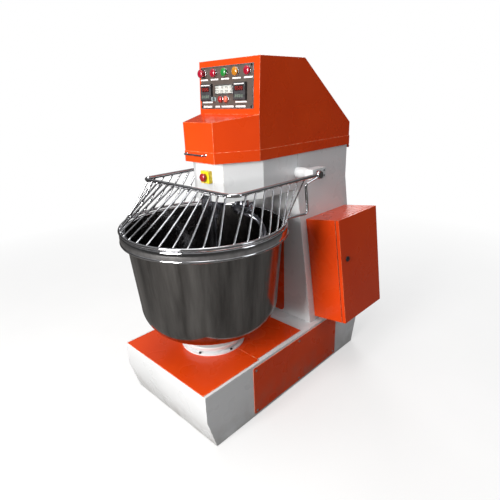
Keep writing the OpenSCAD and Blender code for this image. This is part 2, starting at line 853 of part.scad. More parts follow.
// How far from a rod's centreline a bar along d ends, so that the edge of its flat end
// just clears the rod, which has radius r and runs along the unit vector way.
function bar_stop(d, way, r) =
    let (lean = abs(d * way)) (r + bar_rod * lean) / sqrt(1 - lean * lean) + weld;

module guard_bars() {
    color(chrome) mirrored() for (i = [0 : bars_half - 1]) {
        a = bar_foot(i);
        b = bar_head(i);
        d = unit(b - a);
        rod(a + d * bar_stop(d, foot_run(i), ring_rod), b - d * bar_stop(d, head_run(i), rail_rod),
            bar_rod);
    }
}

// ---- bowl ----

// The bowl's outer side from its underside up to the rim, t inside the outer face.
function bowl_side(t) = concat(
    [[0, bowl_z + t], [floor_r, bowl_z + floor_rise + t]],
    [for (a = [90 : -10 : 0]) [knuckle_r - knuckle_w + (knuckle_w - t) * cos(a),
        knuckle_z - (knuckle_h - t) * sin(a)]],
    [[bowl_r - t, rim_z - 4]]);

module bowl_shell() {
    outer = bowl_side(0);
    inner = bowl_side(bowl_t);
    n = len(inner) - 1;
    color(steel) rotate_extrude($fn = 96) polygon(concat(outer, [for (i = [n : -1 : 0]) inner[i]]));
}

module bowl_rim() {
    bead = 6;
    edge = bowl_r + rim_out;
    round = 6;
    color(chrome) rotate_extrude($fn = 96) union() {
        polygon(concat([[bowl_r - bowl_t, rim_z - 4], [bowl_r, rim_z - 4], [bowl_r, rim_z - 8],
            [edge - 4, rim_z - 8], [edge - 4, rim_z - rim_h + bead], [edge, rim_z - rim_h + bead]],
            [for (a = [0 : 15 : 90]) [edge - round + round * cos(a), rim_z - round + round * sin(a)]],
            [[bowl_r - bowl_t, rim_z]]));
        translate([edge - bead / 2, rim_z - rim_h + bead]) circle(r = bead, $fn = low_fn);
    }
}

module bowl_turntable() {
    z0 = table_z + 1;
    hub = table_r - 32;
    color(white) rotate_extrude($fn = 96) polygon([[0, z0], [table_r, z0], [table_top_r, z0 + 30],
        [table_top_r - 6, z0 + 36], [hub + 10, z0 + 40], [hub, bowl_z + floor_rise * hub / floor_r],
        [0, bowl_z]]);
}

// ---- electrical box ----

// The box's own frame: X out of the column's slanted side, Z up along it.
module box_place() {
    translate([box_x, 0, box_top]) rotate([0, -wall_angle, 0]) children();
}

module electrical_box() {
    color(orange) box_place() difference() {
        translate([0, box_y, -box_h]) cube([box_d, box_len, box_h]);
        translate([box_t, box_y + box_t, box_t - box_h])
            cube([box_d, box_len - 2 * box_t, box_h - 2 * box_t]);
    }
}

module contactor_plate() {
    color("gainsboro") box_place() translate([box_t, box_y, 0]) {
        translate([0, 30, 30 - box_h]) cube([6, box_len - 60, box_h - 60]);
        for (i = [0 : 3], z = [-170, -330])
            translate([6, 44 + i * 66, z]) cube([62, 54, 84]);
    }
}

module box_seal() {
    color(black) box_place() difference() {
        translate([box_d, box_y + 4, 4 - box_h]) cube([door_gap, box_len - 8, box_h - 8]);
        translate([box_d - 1, box_y + 14, 14 - box_h]) cube([door_gap + 2, box_len - 28, box_h - 28]);
    }
}

function door_knuckles() = [-90, -box_h + 90];

module door_knuckle(z0, z1, bore) {
    translate([door_axis_x, door_axis_y, 0]) ring(z0, z1, door_pin_r + 3, bore);
}

module box_door() {
    rim = 14;
    color(orange) box_place() {
        difference() {
            translate([door_x, box_y, -box_h]) cube([door_t, box_len, box_h]);
            translate([door_x - 1, box_y + rim, rim - box_h])
                cube([door_t - 2, box_len - 2 * rim, box_h - 2 * rim]);
            translate([door_x - 1, box_y + lock_in, -lock_down]) rotate([0, 90, 0])
                cylinder(r = lock_r + run, h = door_t + 2);
        }
        for (z = door_knuckles()) {
            door_knuckle(z - 40, z - 0.3, door_pin_r + run);
            translate([door_axis_x + 3, box_y + box_len, z - 40]) cube([8, 5, 39.7]);
        }
    }
}

module door_lock() {
    color(black) box_place() translate([door_x, box_y + lock_in, -lock_down]) rotate([0, 90, 0]) {
        translate([0, 0, 2]) cylinder(r = lock_r, h = door_t - 1);
        difference() {
            translate([0, 0, door_t + 1]) cylinder(r = lock_r + 3, h = 5);
            translate([-2, -lock_r, door_t + 3]) cube([4, 2 * lock_r, 4]);
        }
    }
}

module cable_gland() {
    color(black) difference() {
        union() {
            gland_place(-2 * sheet, 8, gland_r + 4);
            gland_place(0, 8, gland_r + 10);
            gland_place(8, 28, gland_r + 6);
        }
        gland_place(-3 * sheet, 30, gland_r);
    }
}

// ---- hinges ----

module fixed_hinge_leaves() {
    color(steel) {
        mirrored() {
            knuckle(hinge_x, hinge_x + hinge_len / 2 - 0.3, hinge_r);
            difference() {
                translate([hinge_x, base_rear, hinge_z - 26])
                    cube([hinge_len / 2 - 0.3, hinge_y - base_rear - 3, 26]);
                along_x(hinge_x - 1, hinge_x + hinge_len) circle(r = knuckle_out - 1);
            }
        }
        box_place() for (z = door_knuckles()) {
            door_knuckle(z, z + 40, door_pin_r);
            translate([box_d - 30, box_y + box_len, z]) cube([34, 3, 40]);
        }
    }
}

module hinge_pins() {
    color(steel) {
        mirrored() along_x(hinge_x - 2, hinge_x + hinge_len + 2) circle(r = hinge_r);
        box_place() for (z = door_knuckles()) translate([door_axis_x, door_axis_y, 0])
            upright(z - 41, z + 42, door_pin_r);
    }
}

// ---- hood ----

// The hood's outer body, t inside its sheet.
module hood_body(t, low) {
    half = hood_half - t;
    m = (face_y - nose_y) / (hood_half - nose_half);
    k = sqrt(1 + m * m);
    foot = hood_z + face_z;
    across(-half, half) polygon([[face_y + t, low], [face_y + t, foot],
        [face_y + face_lean + t, hood_top - t], [top_rear - t * 0.3, hood_top - t],
        [hood_rear - t, hood_z + rear_h - t * 0.5], [hood_rear - t, low]]);
    intersection() {
        translate([0, 0, low - 1]) linear_extrude(hood_h) polygon([
            [half, face_y + t * (k - m) + 30], [half, face_y + t * (k - m)],
            [nose_half + t * (1 - k) / m, nose_y + t],
            [-nose_half - t * (1 - k) / m, nose_y + t], [-half, face_y + t * (k - m)],
            [-half, face_y + t * (k - m) + 30]]);
        across(-half, half) polygon([[nose_y + t, low], [nose_y + t, hood_z + nose_h - t],
            [face_y, foot - t], [face_y + 29, foot - t], [face_y + 29, low]]);
    }
}

module hood_cover() {
    color(orange) {
        difference() {
            union() {
                hood_body(0, hood_z);
                intersection() {
                    hood_body(-band_out, hood_z);
                    translate([-base_w, -base_w, hood_z]) cube([2 * base_w, 3 * base_w, band_h]);
                }
            }
            hood_body(hood_t, hood_z - 1);
            face_place() translate([plate_x - plate_w / 2 + 12, -5, plate_v + 12])
                cube([plate_w - 24, 12, plate_h - 24]);
        }
        mirrored() {
            knuckle(hinge_x + hinge_len / 2, hinge_x + hinge_len, hinge_r + run);
            difference() {
                translate([hinge_x + hinge_len / 2, hood_rear + band_out, hinge_z + 2])
                    cube([hinge_len / 2, 4, 34]);
                along_x(hinge_x, hinge_x + hinge_len + 1) circle(r = knuckle_out - 1);
            }
        }
    }
}

module hood_handle() {
    x0 = -84;
    x1 = 46;
    reach = 14;
    z = hood_z + 33;
    y = nose_y - band_out - reach;
    color(chrome) {
        translate([x0, y, z]) rotate([0, 90, 0]) cylinder(r = handle_r, h = x1 - x0);
        for (x = [x0 + handle_r, x1 - handle_r]) translate([x, y, z]) rotate([-90, 0, 0])
            cylinder(r = handle_r, h = reach);
    }
}

// ---- control panel ----

// The control face's own frame: X right, Z up the leaning face, -Y out of it.
module face_place() {
    translate([0, face_y, hood_z + face_z]) rotate([-face_angle, 0, 0]) children();
}

// A round shape on the control face, from out0 to out1 in front of it.
module on_face(x, v, out0, out1, r) {
    translate([x, -out0, v]) rotate([90, 0, 0]) cylinder(r = r, h = out1 - out0);
}

module control_plate() {
    color(iron) face_place() difference() {
        translate([plate_x - plate_w / 2, -3, plate_v]) cube([plate_w, 3, plate_h]);
        for (i = [0 : 4]) on_face(button_x0 + i * button_step, panel_row, -1, 4, 12);
        for (x = push_x) on_face(x, small_v, -1, 4, small_r - 3);
        on_face(knob_x, small_v, -1, 4, 6);
    }
}

module control_plate_screws() {
    inset = 8;
    color(chrome) face_place() for (s = [-1, 1], v = [plate_v + inset, plate_v + plate_h - inset])
        on_face(plate_x + s * (plate_w / 2 - inset), v, 3, 6, 5);
}

module label(x, v, w, h) {
    translate([x - w / 2, -3.8, v - h / 2]) cube([w, 0.8, h]);
}

module label_strips() {
    color("white") face_place() {
        for (i = [0 : 4]) label(button_x0 + i * button_step, panel_row - 25, 48, 6);
        for (x = timer_x) label(x, timer_v - timer_w / 2 - 5.5, timer_w - 4, 6);
        for (p = [[-117, 58], [-52, 28], [11, 74], [90, 58]]) label(plate_x + p[0], plate_v + 9.5, p[1], 7);
    }
}

module bezel(x, v, r) {
    difference() {
        on_face(x, v, 3, 9, r + 3);
        on_face(x, v, 2, 10, r + free);
    }
}

module button_bezels() {
    color(steel) face_place() {
        for (i = [0 : 4]) bezel(button_x0 + i * button_step, panel_row, button_r);
        for (x = push_x) bezel(x, small_v, small_r);
    }
}

// A domed cap that stands out of its bezel and can travel back by button_travel.
module cap(x, v, r, out) {
    dome = 5;
    base = 3 + button_travel + 0.6;
    face_place() translate([x, -base, v]) rotate([90, 0, 0]) {
        rotate_extrude() polygon(concat([[0, 0], [r, 0]],
            [for (a = [0 : 15 : 90]) [r - dome + dome * cos(a), out - base - dome + dome * sin(a)]],
            [[0, out - base]]));
        translate([0, 0, -base - 4]) cylinder(r = 7, h = base + 4);
    }
}

module stop_button() color("crimson") cap(button_x0, panel_row, button_r, 34);
module red_button() color("crimson") cap(button_x0 + button_step, panel_row, button_r, 22);
module green_button() color("forestgreen") cap(button_x0 + 2 * button_step, panel_row, button_r, 22);
module amber_button() color("orange") cap(button_x0 + 3 * button_step, panel_row, button_r, 22);
module mixer_button() color("crimson") cap(button_x0 + 4 * button_step, panel_row, button_r, 22);
module left_push_button() color("maroon") cap(push_x[0], small_v, small_r, 16);
module right_push_button() color("orangered") cap(push_x[1], small_v, small_r, 16);

module selector_knob() {
    grip_w = 8;
    grip_h = 2 * knob_r - 2;
    color("slategray") face_place() {
        on_face(knob_x, small_v, 3 + free, 8, knob_r);
        on_face(knob_x, small_v, -4, 3 + free, 6 - free);
        translate([knob_x - grip_w / 2, -20, small_v - grip_h / 2]) cube([grip_w, 12.5, grip_h]);
    }
}

module timers() {
    color(black) face_place() for (x = timer_x)
        translate([x - timer_w / 2, -17, timer_v - timer_w / 2]) cube([timer_w, 14, timer_w]);
}

module display_unit() {
    color("gainsboro") face_place() translate([plate_x - 65, -8, plate_v + 58]) cube([110, 5, 40]);
}

base_shell();
base_floor_plate();
front_deck_plate();
rear_deck_plate();
side_panel_right();
side_panel_left();
cover_screws();
column_shell();
column_front_panel();
rear_cover();
head_casing();
bowl_bearing_housing();
shaft_bearings();
bowl_motor();
bowl_belt();
spiral_bearing_housing();
spiral_motor();
spiral_belt();
breaker_bar();
machine_bolts();
estop_box();
guard_pivot_mounts();
guard_spindles();
electrical_box();
contactor_plate();
box_seal();
cable_gland();
fixed_hinge_leaves();
hinge_pins();
hood_cover();
hood_handle();
control_plate();
control_plate_screws();
label_strips();
button_bezels();
timers();
display_unit();
stop_button();
red_button();
green_button();
amber_button();
mixer_button();
left_push_button();
right_push_button();
selector_knob();
estop_button();
guard_frame();
guard_bars();
bowl_shell();
bowl_rim();
bowl_turntable();
bowl_shaft();
bowl_pulley();
bowl_motor_pulley();
spiral_shaft();
spiral_hook();
spiral_pulley();
spiral_motor_pulley();
box_door();
door_lock();
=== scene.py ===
"""Spiral dough mixer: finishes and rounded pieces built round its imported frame.

Metres throughout. X is the machine's right, Y runs back to the column, Z is up, and the
origin is on the floor under the bowl's axis.
"""

import json
import math

import bmesh
import bpy
import numpy as np
from mathutils import Matrix

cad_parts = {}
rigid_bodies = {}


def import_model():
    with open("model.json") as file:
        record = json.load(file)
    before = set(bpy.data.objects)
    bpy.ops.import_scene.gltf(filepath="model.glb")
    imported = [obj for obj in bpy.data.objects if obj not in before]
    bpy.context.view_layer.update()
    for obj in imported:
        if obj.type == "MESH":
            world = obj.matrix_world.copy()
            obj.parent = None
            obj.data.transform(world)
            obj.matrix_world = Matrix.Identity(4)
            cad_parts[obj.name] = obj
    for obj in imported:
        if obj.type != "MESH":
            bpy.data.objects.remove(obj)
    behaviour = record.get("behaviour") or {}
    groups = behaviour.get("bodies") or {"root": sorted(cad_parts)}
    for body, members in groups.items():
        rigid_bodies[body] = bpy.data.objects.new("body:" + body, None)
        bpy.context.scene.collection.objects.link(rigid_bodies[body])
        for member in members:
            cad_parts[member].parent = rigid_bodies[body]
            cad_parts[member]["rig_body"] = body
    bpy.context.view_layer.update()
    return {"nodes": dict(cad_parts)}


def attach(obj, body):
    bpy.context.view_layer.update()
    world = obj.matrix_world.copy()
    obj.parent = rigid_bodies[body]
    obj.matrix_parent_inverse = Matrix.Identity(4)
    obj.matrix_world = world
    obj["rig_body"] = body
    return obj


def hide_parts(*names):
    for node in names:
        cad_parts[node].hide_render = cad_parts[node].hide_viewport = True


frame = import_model()
nodes = frame["nodes"]

TAU = 2 * math.pi

# ---- sizes shared with the frame ----

BOWL_RADIUS = 0.345
BOWL_WALL = 0.004
BOWL_FLOOR = 0.352
KNUCKLE_RADIUS = 0.316
KNUCKLE_TOP = 0.520
KNUCKLE_HEIGHT = 0.132
KNUCKLE_WIDTH = 0.129
RIM_TOP = 0.872
RIM_DEPTH = 0.046
RIM_EDGE = BOWL_RADIUS + 0.021
TABLE_FOOT = 0.134
TABLE_EDGE = 0.150
TABLE_UNDER = 0.289
BOWL_EDGE = RIM_TOP - 0.004
FLOOR_FLAT = TABLE_FOOT - 0.025
FLOOR_RISE = 0.002

SPIRAL_AXIS = (0.072, 0.170)
COIL_RADIUS = 0.094
COIL_ROD = 0.015
COIL_LOW = 0.415
COIL_TURNS = 1.4
HOOK_START = 0.022
HOOK_TIP = 0.024
HOOK_ANGLE = math.radians(200)
HUB_UNDER = 0.912
HUB_THICK = 0.020
HUB_RADIUS = 0.054
SHAFT_RADIUS = 0.027
SHAFT_TOP = 1.220

RAIL_HEIGHT = 1.050
RAIL_FRONT = -0.100
RAIL_HALF = 0.300
RAIL_BEND = 0.042
RAIL_ROD = 0.008
RING_RADIUS = 0.360
RING_CENTRE = -0.004
RING_HEIGHT = 0.881
RING_ROD = 0.006
RING_SPAN = math.radians(134)
BAR_ROD = 0.004
BAR_STEP = math.radians(9)
BARS_A_SIDE = 15
BARS_ON_FRONT = 7
END_X = 0.283
END_Y = 0.373
PIVOT_Y = 0.428
SPINDLE = 0.009

FACE_FOOT = (0.0, 0.171, 1.319)
FACE_LEAN = math.atan(0.013 / 0.218)
BUTTON_XS = [-0.147, -0.079, -0.011, 0.057, 0.125]
BUTTON_V = 0.167
PUSH_XS = [-0.038, -0.003]
PUSH_V = 0.061
KNOB_X = -0.0795
KNOB_RADIUS = 0.011
TIMER_XS = [-0.127, 0.083]
TIMER_V = 0.090
TIMER_SIDE = 0.070
PLATE_OUT = 0.003
BUTTON_RADIUS = 0.014
PUSH_RADIUS = 0.013
STEM_END = -0.004
DOME_HEIGHT = 0.0075
ESTOP_PLACE = (0.020, -0.005, 1.076)


# ---- meshes from formulas ----

# Points closer than this are one point, in drawn parts and in the frame's own meshes.
MERGE_DRAWN = 2e-6
MERGE_FRAME = 2e-5
# Faces that turn less than FLAT are one face. Edges that turn more than EDGE_ANGLE are rounded,
# if they are longer than SHORTEST_EDGE times the rounding's width.
FLAT = math.radians(1)
EDGE_ANGLE = math.radians(22)
EDGE_SEGMENTS = 2
SHORTEST_EDGE = 6.0
FORMED_CREASE = 38
# The axes of a part drawn with Z out of it, put on a wall that faces the front.
FORWARD = ((1, 0, 0), (0, 0, 1), (0, -1, 0))


def net(points, wrap_rows=False, wrap_columns=False):
    """Four-sided faces over a block of points, row by row. Returns (vertices, faces)."""
    rows, columns = points.shape[:2]
    index = np.arange(rows * columns).reshape(rows, columns)
    if wrap_rows:
        index = np.vstack([index, index[:1]])
    if wrap_columns:
        index = np.hstack([index, index[:, :1]])
    corners = [index[:-1, :-1], index[1:, :-1], index[1:, 1:], index[:-1, 1:]]
    return points.reshape(-1, 3), np.stack(corners, -1).reshape(-1, 4)


def turned(profile, steps=48, closed=False):
    """A (radius, height) profile turned round Z: x = r cos a, y = r sin a, z = height."""
    r, h = np.asarray(profile, float).T
    a = np.linspace(0, TAU, steps, endpoint=False)
    block = np.stack([np.outer(r, np.cos(a)), np.outer(r, np.sin(a)), np.outer(h, np.ones(steps))], -1)
    return net(block, wrap_rows=closed, wrap_columns=True)


def unit(v):
    """Each vector divided by its own length."""
    return v / np.linalg.norm(v, axis=-1, keepdims=True)


def tube(path, radius, sides=12, up=(0, 0, 1)):
    """Rings round a path: centre + radius (cos b side + sin b lift), drawn to a point at each end."""
    path = np.asarray(path, float)
    ahead = unit(np.gradient(path, axis=0))
    side = unit(np.cross(ahead, up))
    lift = np.cross(side, ahead)
    b = np.linspace(0, TAU, sides, endpoint=False)[None, :, None]
    r = np.broadcast_to(radius, len(path))[:, None, None]
    rings = path[:, None] + r * (np.cos(b) * side[:, None] + np.sin(b) * lift[:, None])
    ends = [np.repeat(p[None, None], sides, 1) for p in (path[0], path[-1])]
    return net(np.concatenate([ends[0], rings, ends[1]]), wrap_columns=True)


def bent(corners, radius, steps=7):
    """A path through corners, inner ones rounded: centre + r (unit vectors blended at even angles)."""
    corners = np.asarray(corners, float)
    path = [corners[0]]
    for before, p, after in zip(corners, corners[1:], corners[2:]):
        a, b = unit(before - p), unit(after - p)
        half = math.acos(np.clip(a @ b, -1, 1)) / 2
        reach = radius / math.tan(half)
        centre = p + unit(a + b) * radius / math.sin(half)
        first, last = (p + a * reach - centre) / radius, (p + b * reach - centre) / radius
        turn = math.pi - 2 * half
        s = np.linspace(0, 1, steps)[:, None]
        blended = np.sin((1 - s) * turn) * first + np.sin(s * turn) * last
        path.extend(centre + radius * blended / math.sin(turn))
    path.append(corners[-1])
    return np.array(path)


def arc(centre, radius, start, end, steps=8):
    """Points (x, y) on a circle from one angle to another, in degrees."""
    a = np.radians(np.linspace(start, end, steps))
    return list(zip(centre[0] + radius * np.cos(a), centre[1] + radius * np.sin(a)))


def slab(x, y, z):
    """A box between pairs of bounds: its eight corners and six faces."""
    block = np.array([[x[i], y[j], z[k]] for i in (0, 1) for j in (0, 1) for k in (0, 1)], float)
    faces = [[0, 1, 3, 2], [4, 6, 7, 5], [0, 4, 5, 1], [2, 3, 7, 6], [0, 2, 6, 4], [1, 5, 7, 3]]
    return block, np.array(faces)


def carried(part, origin, x=(1, 0, 0), y=(0, 1, 0), z=(0, 0, 1)):
    """A part's points carried from its own axes to the given ones: origin + px x + py y + pz z."""
    points, faces = part
    return points @ np.array([x, y, z], float) + np.array(origin, float), faces


def on_face(part):
    """A part drawn with X right, Y up the control face and Z out of it, put on that face."""
    c, s = math.cos(FACE_LEAN), math.sin(FACE_LEAN)
    return carried(part, FACE_FOOT, (1, 0, 0), (0, s, c), (0, -c, s))


def at(part, x, y, z=0.0):
    """A part shifted by x, y, z."""
    return part[0] + np.array([x, y, z]), part[1]


def mirrored(part):
    """A part and its mirror image across the middle of the machine."""
    points, faces = part
    return [part, (points * [-1, 1, 1], faces[:, ::-1])]


def shade_smooth(mesh, sharp):
    """Smooth shading with creases where faces meet at more than the given angle."""
    mesh.polygons.foreach_set("use_smooth", [True] * len(mesh.polygons))
    mesh.set_sharp_from_angle(angle=math.radians(sharp))


def piece(name, parts, material, body, slot, replaces=(), sharp=35, round_edges=0.0):
    """One object from several parts: doubles merged, faces turned outwards, edges rounded if asked."""
    parts = parts if isinstance(parts, list) else [parts]
    starts = np.cumsum([0] + [len(points) for points, _ in parts])
    points = np.concatenate([p for p, _ in parts])
    faces = [face for (_, f), start in zip(parts, starts) for face in (f + start).tolist()]
    mesh = bpy.data.meshes.new(name)
    mesh.from_pydata(points.tolist(), [], faces)
    form = bmesh.new()
    form.from_mesh(mesh)
    bmesh.ops.remove_doubles(form, verts=form.verts, dist=MERGE_DRAWN)
    bmesh.ops.recalc_face_normals(form, faces=form.faces)
    form.to_mesh(mesh)
    form.free()
    mesh.materials.append(material)
    made = bpy.data.objects.new(name, mesh)
    bpy.context.scene.collection.objects.link(made)
    shade_smooth(mesh, sharp)
    if round_edges:
        rounding = made.modifiers.new("rounded_edges", "BEVEL")
        rounding.width = round_edges
        rounding.segments = EDGE_SEGMENTS
        rounding.limit_method = "ANGLE"
        rounding.angle_limit = math.radians(sharp)
        even = made.modifiers.new("even_shading", "WEIGHTED_NORMAL")
        even.keep_sharp = True
    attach(made, body)
    if replaces:
        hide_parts(*([replaces] if isinstance(replaces, str) else replaces))
    return made


def eased(node, width, material, slot):
    """A merged copy of a CAD node with its long sharp edges rounded. Those edge faces carry `worn`."""
    source = nodes[node]
    form = bmesh.new()
    form.from_mesh(source.data)
    bmesh.ops.remove_doubles(form, verts=form.verts, dist=MERGE_FRAME)
    bmesh.ops.dissolve_limit(form, angle_limit=FLAT, verts=form.verts, edges=form.edges)
    worn = form.faces.layers.float.new("worn")
    long_edges = [
        e
        for e in form.edges
        if e.is_manifold and e.calc_face_angle(0) > EDGE_ANGLE and e.calc_length() > SHORTEST_EDGE * width
    ]
    cut = bmesh.ops.bevel(
        form, geom=long_edges, offset=width, offset_type="OFFSET", segments=EDGE_SEGMENTS, profile=0.5,
        affect="EDGES", clamp_overlap=False,
    )
    for face in cut["faces"]:
        face[worn] = 1.0
    mesh = bpy.data.meshes.new(node + "_formed")
    form.to_mesh(mesh)
    form.free()
    mesh.materials.append(material)
    made = bpy.data.objects.new(node + "_formed", mesh)
    bpy.context.scene.collection.objects.link(made)
    shade_smooth(mesh, FORMED_CREASE)
    even = made.modifiers.new("even_shading", "WEIGHTED_NORMAL")
    even.keep_sharp = True
    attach(made, source["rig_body"])
    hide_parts(node)
    return made


# ---- finishes ----


class Finish:
    """A material whose nodes read Object coordinates."""

    def __init__(self, name, **constants):
        self.material = bpy.data.materials.new(name)
        self.material.use_nodes = True
        self.tree = self.material.node_tree
        self.shader = self.tree.nodes["Principled BSDF"]
        self.coords = self.tree.nodes.new("ShaderNodeTexCoord").outputs["Object"]
        for socket, value in constants.items():
            self.shader.inputs[socket.replace("_", " ")].default_value = value

    def add(self, kind, **settings):
        """A node of that kind with its plain settings."""
        made = self.tree.nodes.new("ShaderNode" + kind)
        for key, value in settings.items():
            setattr(made, key, value)
        return made

    def join(self, output, socket):
        self.tree.links.new(output, socket)

    def noise(self, scale, detail=3.0, stretch=(1, 1, 1), rough=0.5):
        """Noise from 0 to 1 on Object coordinates, stretched by a Mapping."""
        place = self.add("Mapping")
        place.inputs["Scale"].default_value = stretch
        self.join(self.coords, place.inputs["Vector"])
        made = self.add("TexNoise")
        made.inputs["Scale"].default_value = scale
        made.inputs["Detail"].default_value = detail
        made.inputs["Roughness"].default_value = rough
        self.join(place.outputs[0], made.inputs["Vector"])
        return made.outputs[0]

    def spread(self, value, low, high, start=0.0, end=1.0):
        """A value carried from the range low to high onto start to end."""
        made = self.add("MapRange")
        for socket, number in (("From Min", low), ("From Max", high), ("To Min", start), ("To Max", end)):
            made.inputs[socket].default_value = number
        self.join(value, made.inputs["Value"])
        return made.outputs[0]

    def product(self, a, b):
        made = self.add("Math", operation="MULTIPLY", use_clamp=True)
        self.join(a, made.inputs[0])
        self.join(b, made.inputs[1])
        return made.outputs[0]

    def ramp(self, value, stops):
        """A colour ramp with (place, colour) stops."""
        made = self.add("ValToRGB")
        band = made.color_ramp
        while len(band.elements) < len(stops):
            band.elements.new(0.5)
        for element, (place, colour) in zip(band.elements, stops):
            element.position, element.color = place, (*colour, 1)
        self.join(value, made.inputs[0])
        return made.outputs[0]

    def blend(self, share, first, second):
        """Two colours mixed. Each is an output or a plain colour."""
        made = self.add("Mix", data_type="RGBA")
        self.join(share, made.inputs["Factor"])
        for socket, colour in ((made.inputs[6], first), (made.inputs[7], second)):
            if isinstance(colour, tuple):
                socket.default_value = (*colour, 1)
            else:
                self.join(colour, socket)
        return made.outputs[2]

    def height(self):
        """How high a point stands above the floor."""
        split = self.add("SeparateXYZ")
        self.join(self.coords, split.inputs[0])
        return split.outputs["Z"]

    def bump(self, value, distance, strength=1.0, below=None):
        """Relief of that depth in metres, on top of another relief if one is given."""
        made = self.add("Bump")
        made.inputs["Distance"].default_value = distance
        made.inputs["Strength"].default_value = strength
        self.join(value, made.inputs["Height"])
        if below is not None:
            self.join(below, made.inputs["Normal"])
        return made.outputs[0]

    def colour(self, output):
        self.join(output, self.shader.inputs["Base Color"])

    def roughness(self, output):
        self.join(output, self.shader.inputs["Roughness"])

    def normal(self, output):
        self.join(output, self.shader.inputs["Normal"])
        self.join(output, self.shader.inputs["Coat Normal"])


# Painted shade near the floor: from the first height down, the paint is darkened in streaks towards the
# colour below, by up to the share.
FLOOR_SHADE_TOP = 0.16
FLOOR_SHADE_SHARE = 0.55
FLOOR_SHADE_COLOUR = (0.20, 0.17, 0.14)


def enamel(name, deep, bright, chip, coat=0.45, gloss=0.45):
    """Sprayed gloss enamel: cloudy tone, orange peel, slightly wavy sheet, rubbed edges, painted shade in
    streaks near the floor.
    """
    made = Finish(name, Coat_Weight=coat, Coat_Roughness=0.16, Specular_IOR_Level=gloss)
    tone = made.ramp(made.noise(3.0, detail=2.0), [(0.25, deep), (0.75, bright)])
    rubbed = made.add("Attribute", attribute_name="worn")
    patches = made.spread(made.noise(55.0, detail=5.0, rough=0.65), low=0.42, high=0.66)
    tone = made.blend(made.product(rubbed.outputs["Fac"], patches), tone, chip)
    # Painted shade: the paint is darkened in streaks from that height down to the floor.
    near_floor = made.spread(made.height(), low=FLOOR_SHADE_TOP, high=0.0)
    streaks = made.spread(made.noise(14.0, detail=5.0), low=0.35, high=0.75, end=FLOOR_SHADE_SHARE)
    made.colour(made.blend(made.product(near_floor, streaks), tone, FLOOR_SHADE_COLOUR))
    made.roughness(made.spread(made.noise(7.0, detail=2.0), low=0.3, high=0.7, start=0.24, end=0.34))
    wavy = made.bump(made.noise(2.2, detail=0.0), distance=0.004, strength=0.25)
    peel = made.noise(260.0, detail=1.0)
    made.normal(made.bump(peel, distance=0.0001, strength=0.3, below=wavy))
    return made.material


def polished(name, dark, bright, low, high, stretch=(1, 1, 1), scale=30.0, lines=None, **constants):
    """Bare metal: tone and gloss vary in smears. lines gives grinding lines' scale, stretch and depth."""
    made = Finish(name, Metallic=1.0, **constants)
    smears = made.noise(scale, 5.0, stretch, 0.6)
    made.colour(made.ramp(smears, [(0.30, dark), (0.70, bright)]))
    made.roughness(made.spread(smears, 0.3, 0.7, high, low))
    if lines:
        fineness, along, depth = lines
        made.normal(made.bump(made.noise(fineness, 2.0, along), distance=depth, strength=0.5))
    return made.material


def moulded(name, deep, bright, low=0.25, high=0.4, grain=0.00006, **constants):
    """Moulded plastic: slight cloudiness and a fine moulded grain."""
    made = Finish(name, **constants)
    made.colour(made.ramp(made.noise(60.0, 3.0), [(0.3, deep), (0.7, bright)]))
    made.roughness(made.spread(made.noise(120.0, 3.0), 0.3, 0.7, low, high))
    made.normal(made.bump(made.noise(1400.0, 1.0), grain, 0.5))
    return made.material


ORANGE = enamel(
    "orange_enamel", (0.66, 0.046, 0.004), (0.76, 0.066, 0.006), (0.84, 0.30, 0.15), coat=0.22, gloss=0.28
)
WHITE = enamel("white_enamel", (0.70, 0.715, 0.73), (0.76, 0.77, 0.785), (0.50, 0.48, 0.46))
BOWL_STEEL = polished(
    "bowl_stainless", (0.085, 0.080, 0.078), (0.40, 0.39, 0.385), low=0.10, high=0.22,
    stretch=(1, 1, 0.08), scale=13.0, lines=(1.0, (3, 3, 1400), 0.00003), Anisotropic=0.4,
)
CHROME = polished(
    "bright_chrome", (0.46, 0.46, 0.48), (0.68, 0.68, 0.70), low=0.04, high=0.10, scale=45.0
)
TOOL_STEEL = polished(
    "tool_stainless", (0.30, 0.31, 0.35), (0.52, 0.53, 0.58), low=0.12, high=0.30,
    stretch=(1, 1, 0.4), scale=24.0,
)
PLATED = polished("zinc_plate", (0.42, 0.42, 0.43), (0.66, 0.66, 0.66), low=0.22, high=0.42, scale=70.0)
MILL_STEEL = polished("mill_steel", (0.20, 0.20, 0.21), (0.38, 0.38, 0.39), low=0.35, high=0.55, scale=12.0)
CAST_IRON = polished("cast_iron", (0.10, 0.105, 0.11), (0.20, 0.205, 0.21), low=0.45, high=0.65, scale=180.0)
BLACKENED = polished(
    "blackened_bolts", (0.03, 0.03, 0.033), (0.09, 0.09, 0.095), low=0.3, high=0.5, scale=150.0
)
MOTOR_PAINT = enamel("motor_paint", (0.16, 0.21, 0.25), (0.21, 0.27, 0.31), (0.32, 0.33, 0.34), coat=0.2)
RUBBER = moulded("black_rubber", (0.014, 0.014, 0.014), (0.03, 0.03, 0.03), low=0.6, high=0.8, grain=0.0002)
BLACK = moulded("black_plastic", (0.016, 0.016, 0.019), (0.032, 0.032, 0.036))
GREY = moulded("grey_plastic", (0.52, 0.54, 0.53), (0.64, 0.66, 0.65))
SILVER = moulded("display_glass", (0.50, 0.53, 0.50), (0.66, 0.69, 0.65), low=0.10, high=0.2)
LABEL = moulded("label_white", (0.80, 0.80, 0.80), (0.92, 0.92, 0.92), low=0.3, high=0.45)
YELLOW = moulded("yellow_plastic", (0.82, 0.58, 0.010), (0.92, 0.70, 0.02), Coat_Weight=0.3)
PANEL = enamel("panel_brown", (0.085, 0.068, 0.060), (0.13, 0.108, 0.095), (0.5, 0.48, 0.46), coat=0.3)
GLOSSY = {"low": 0.08, "high": 0.2, "Coat_Weight": 0.8}
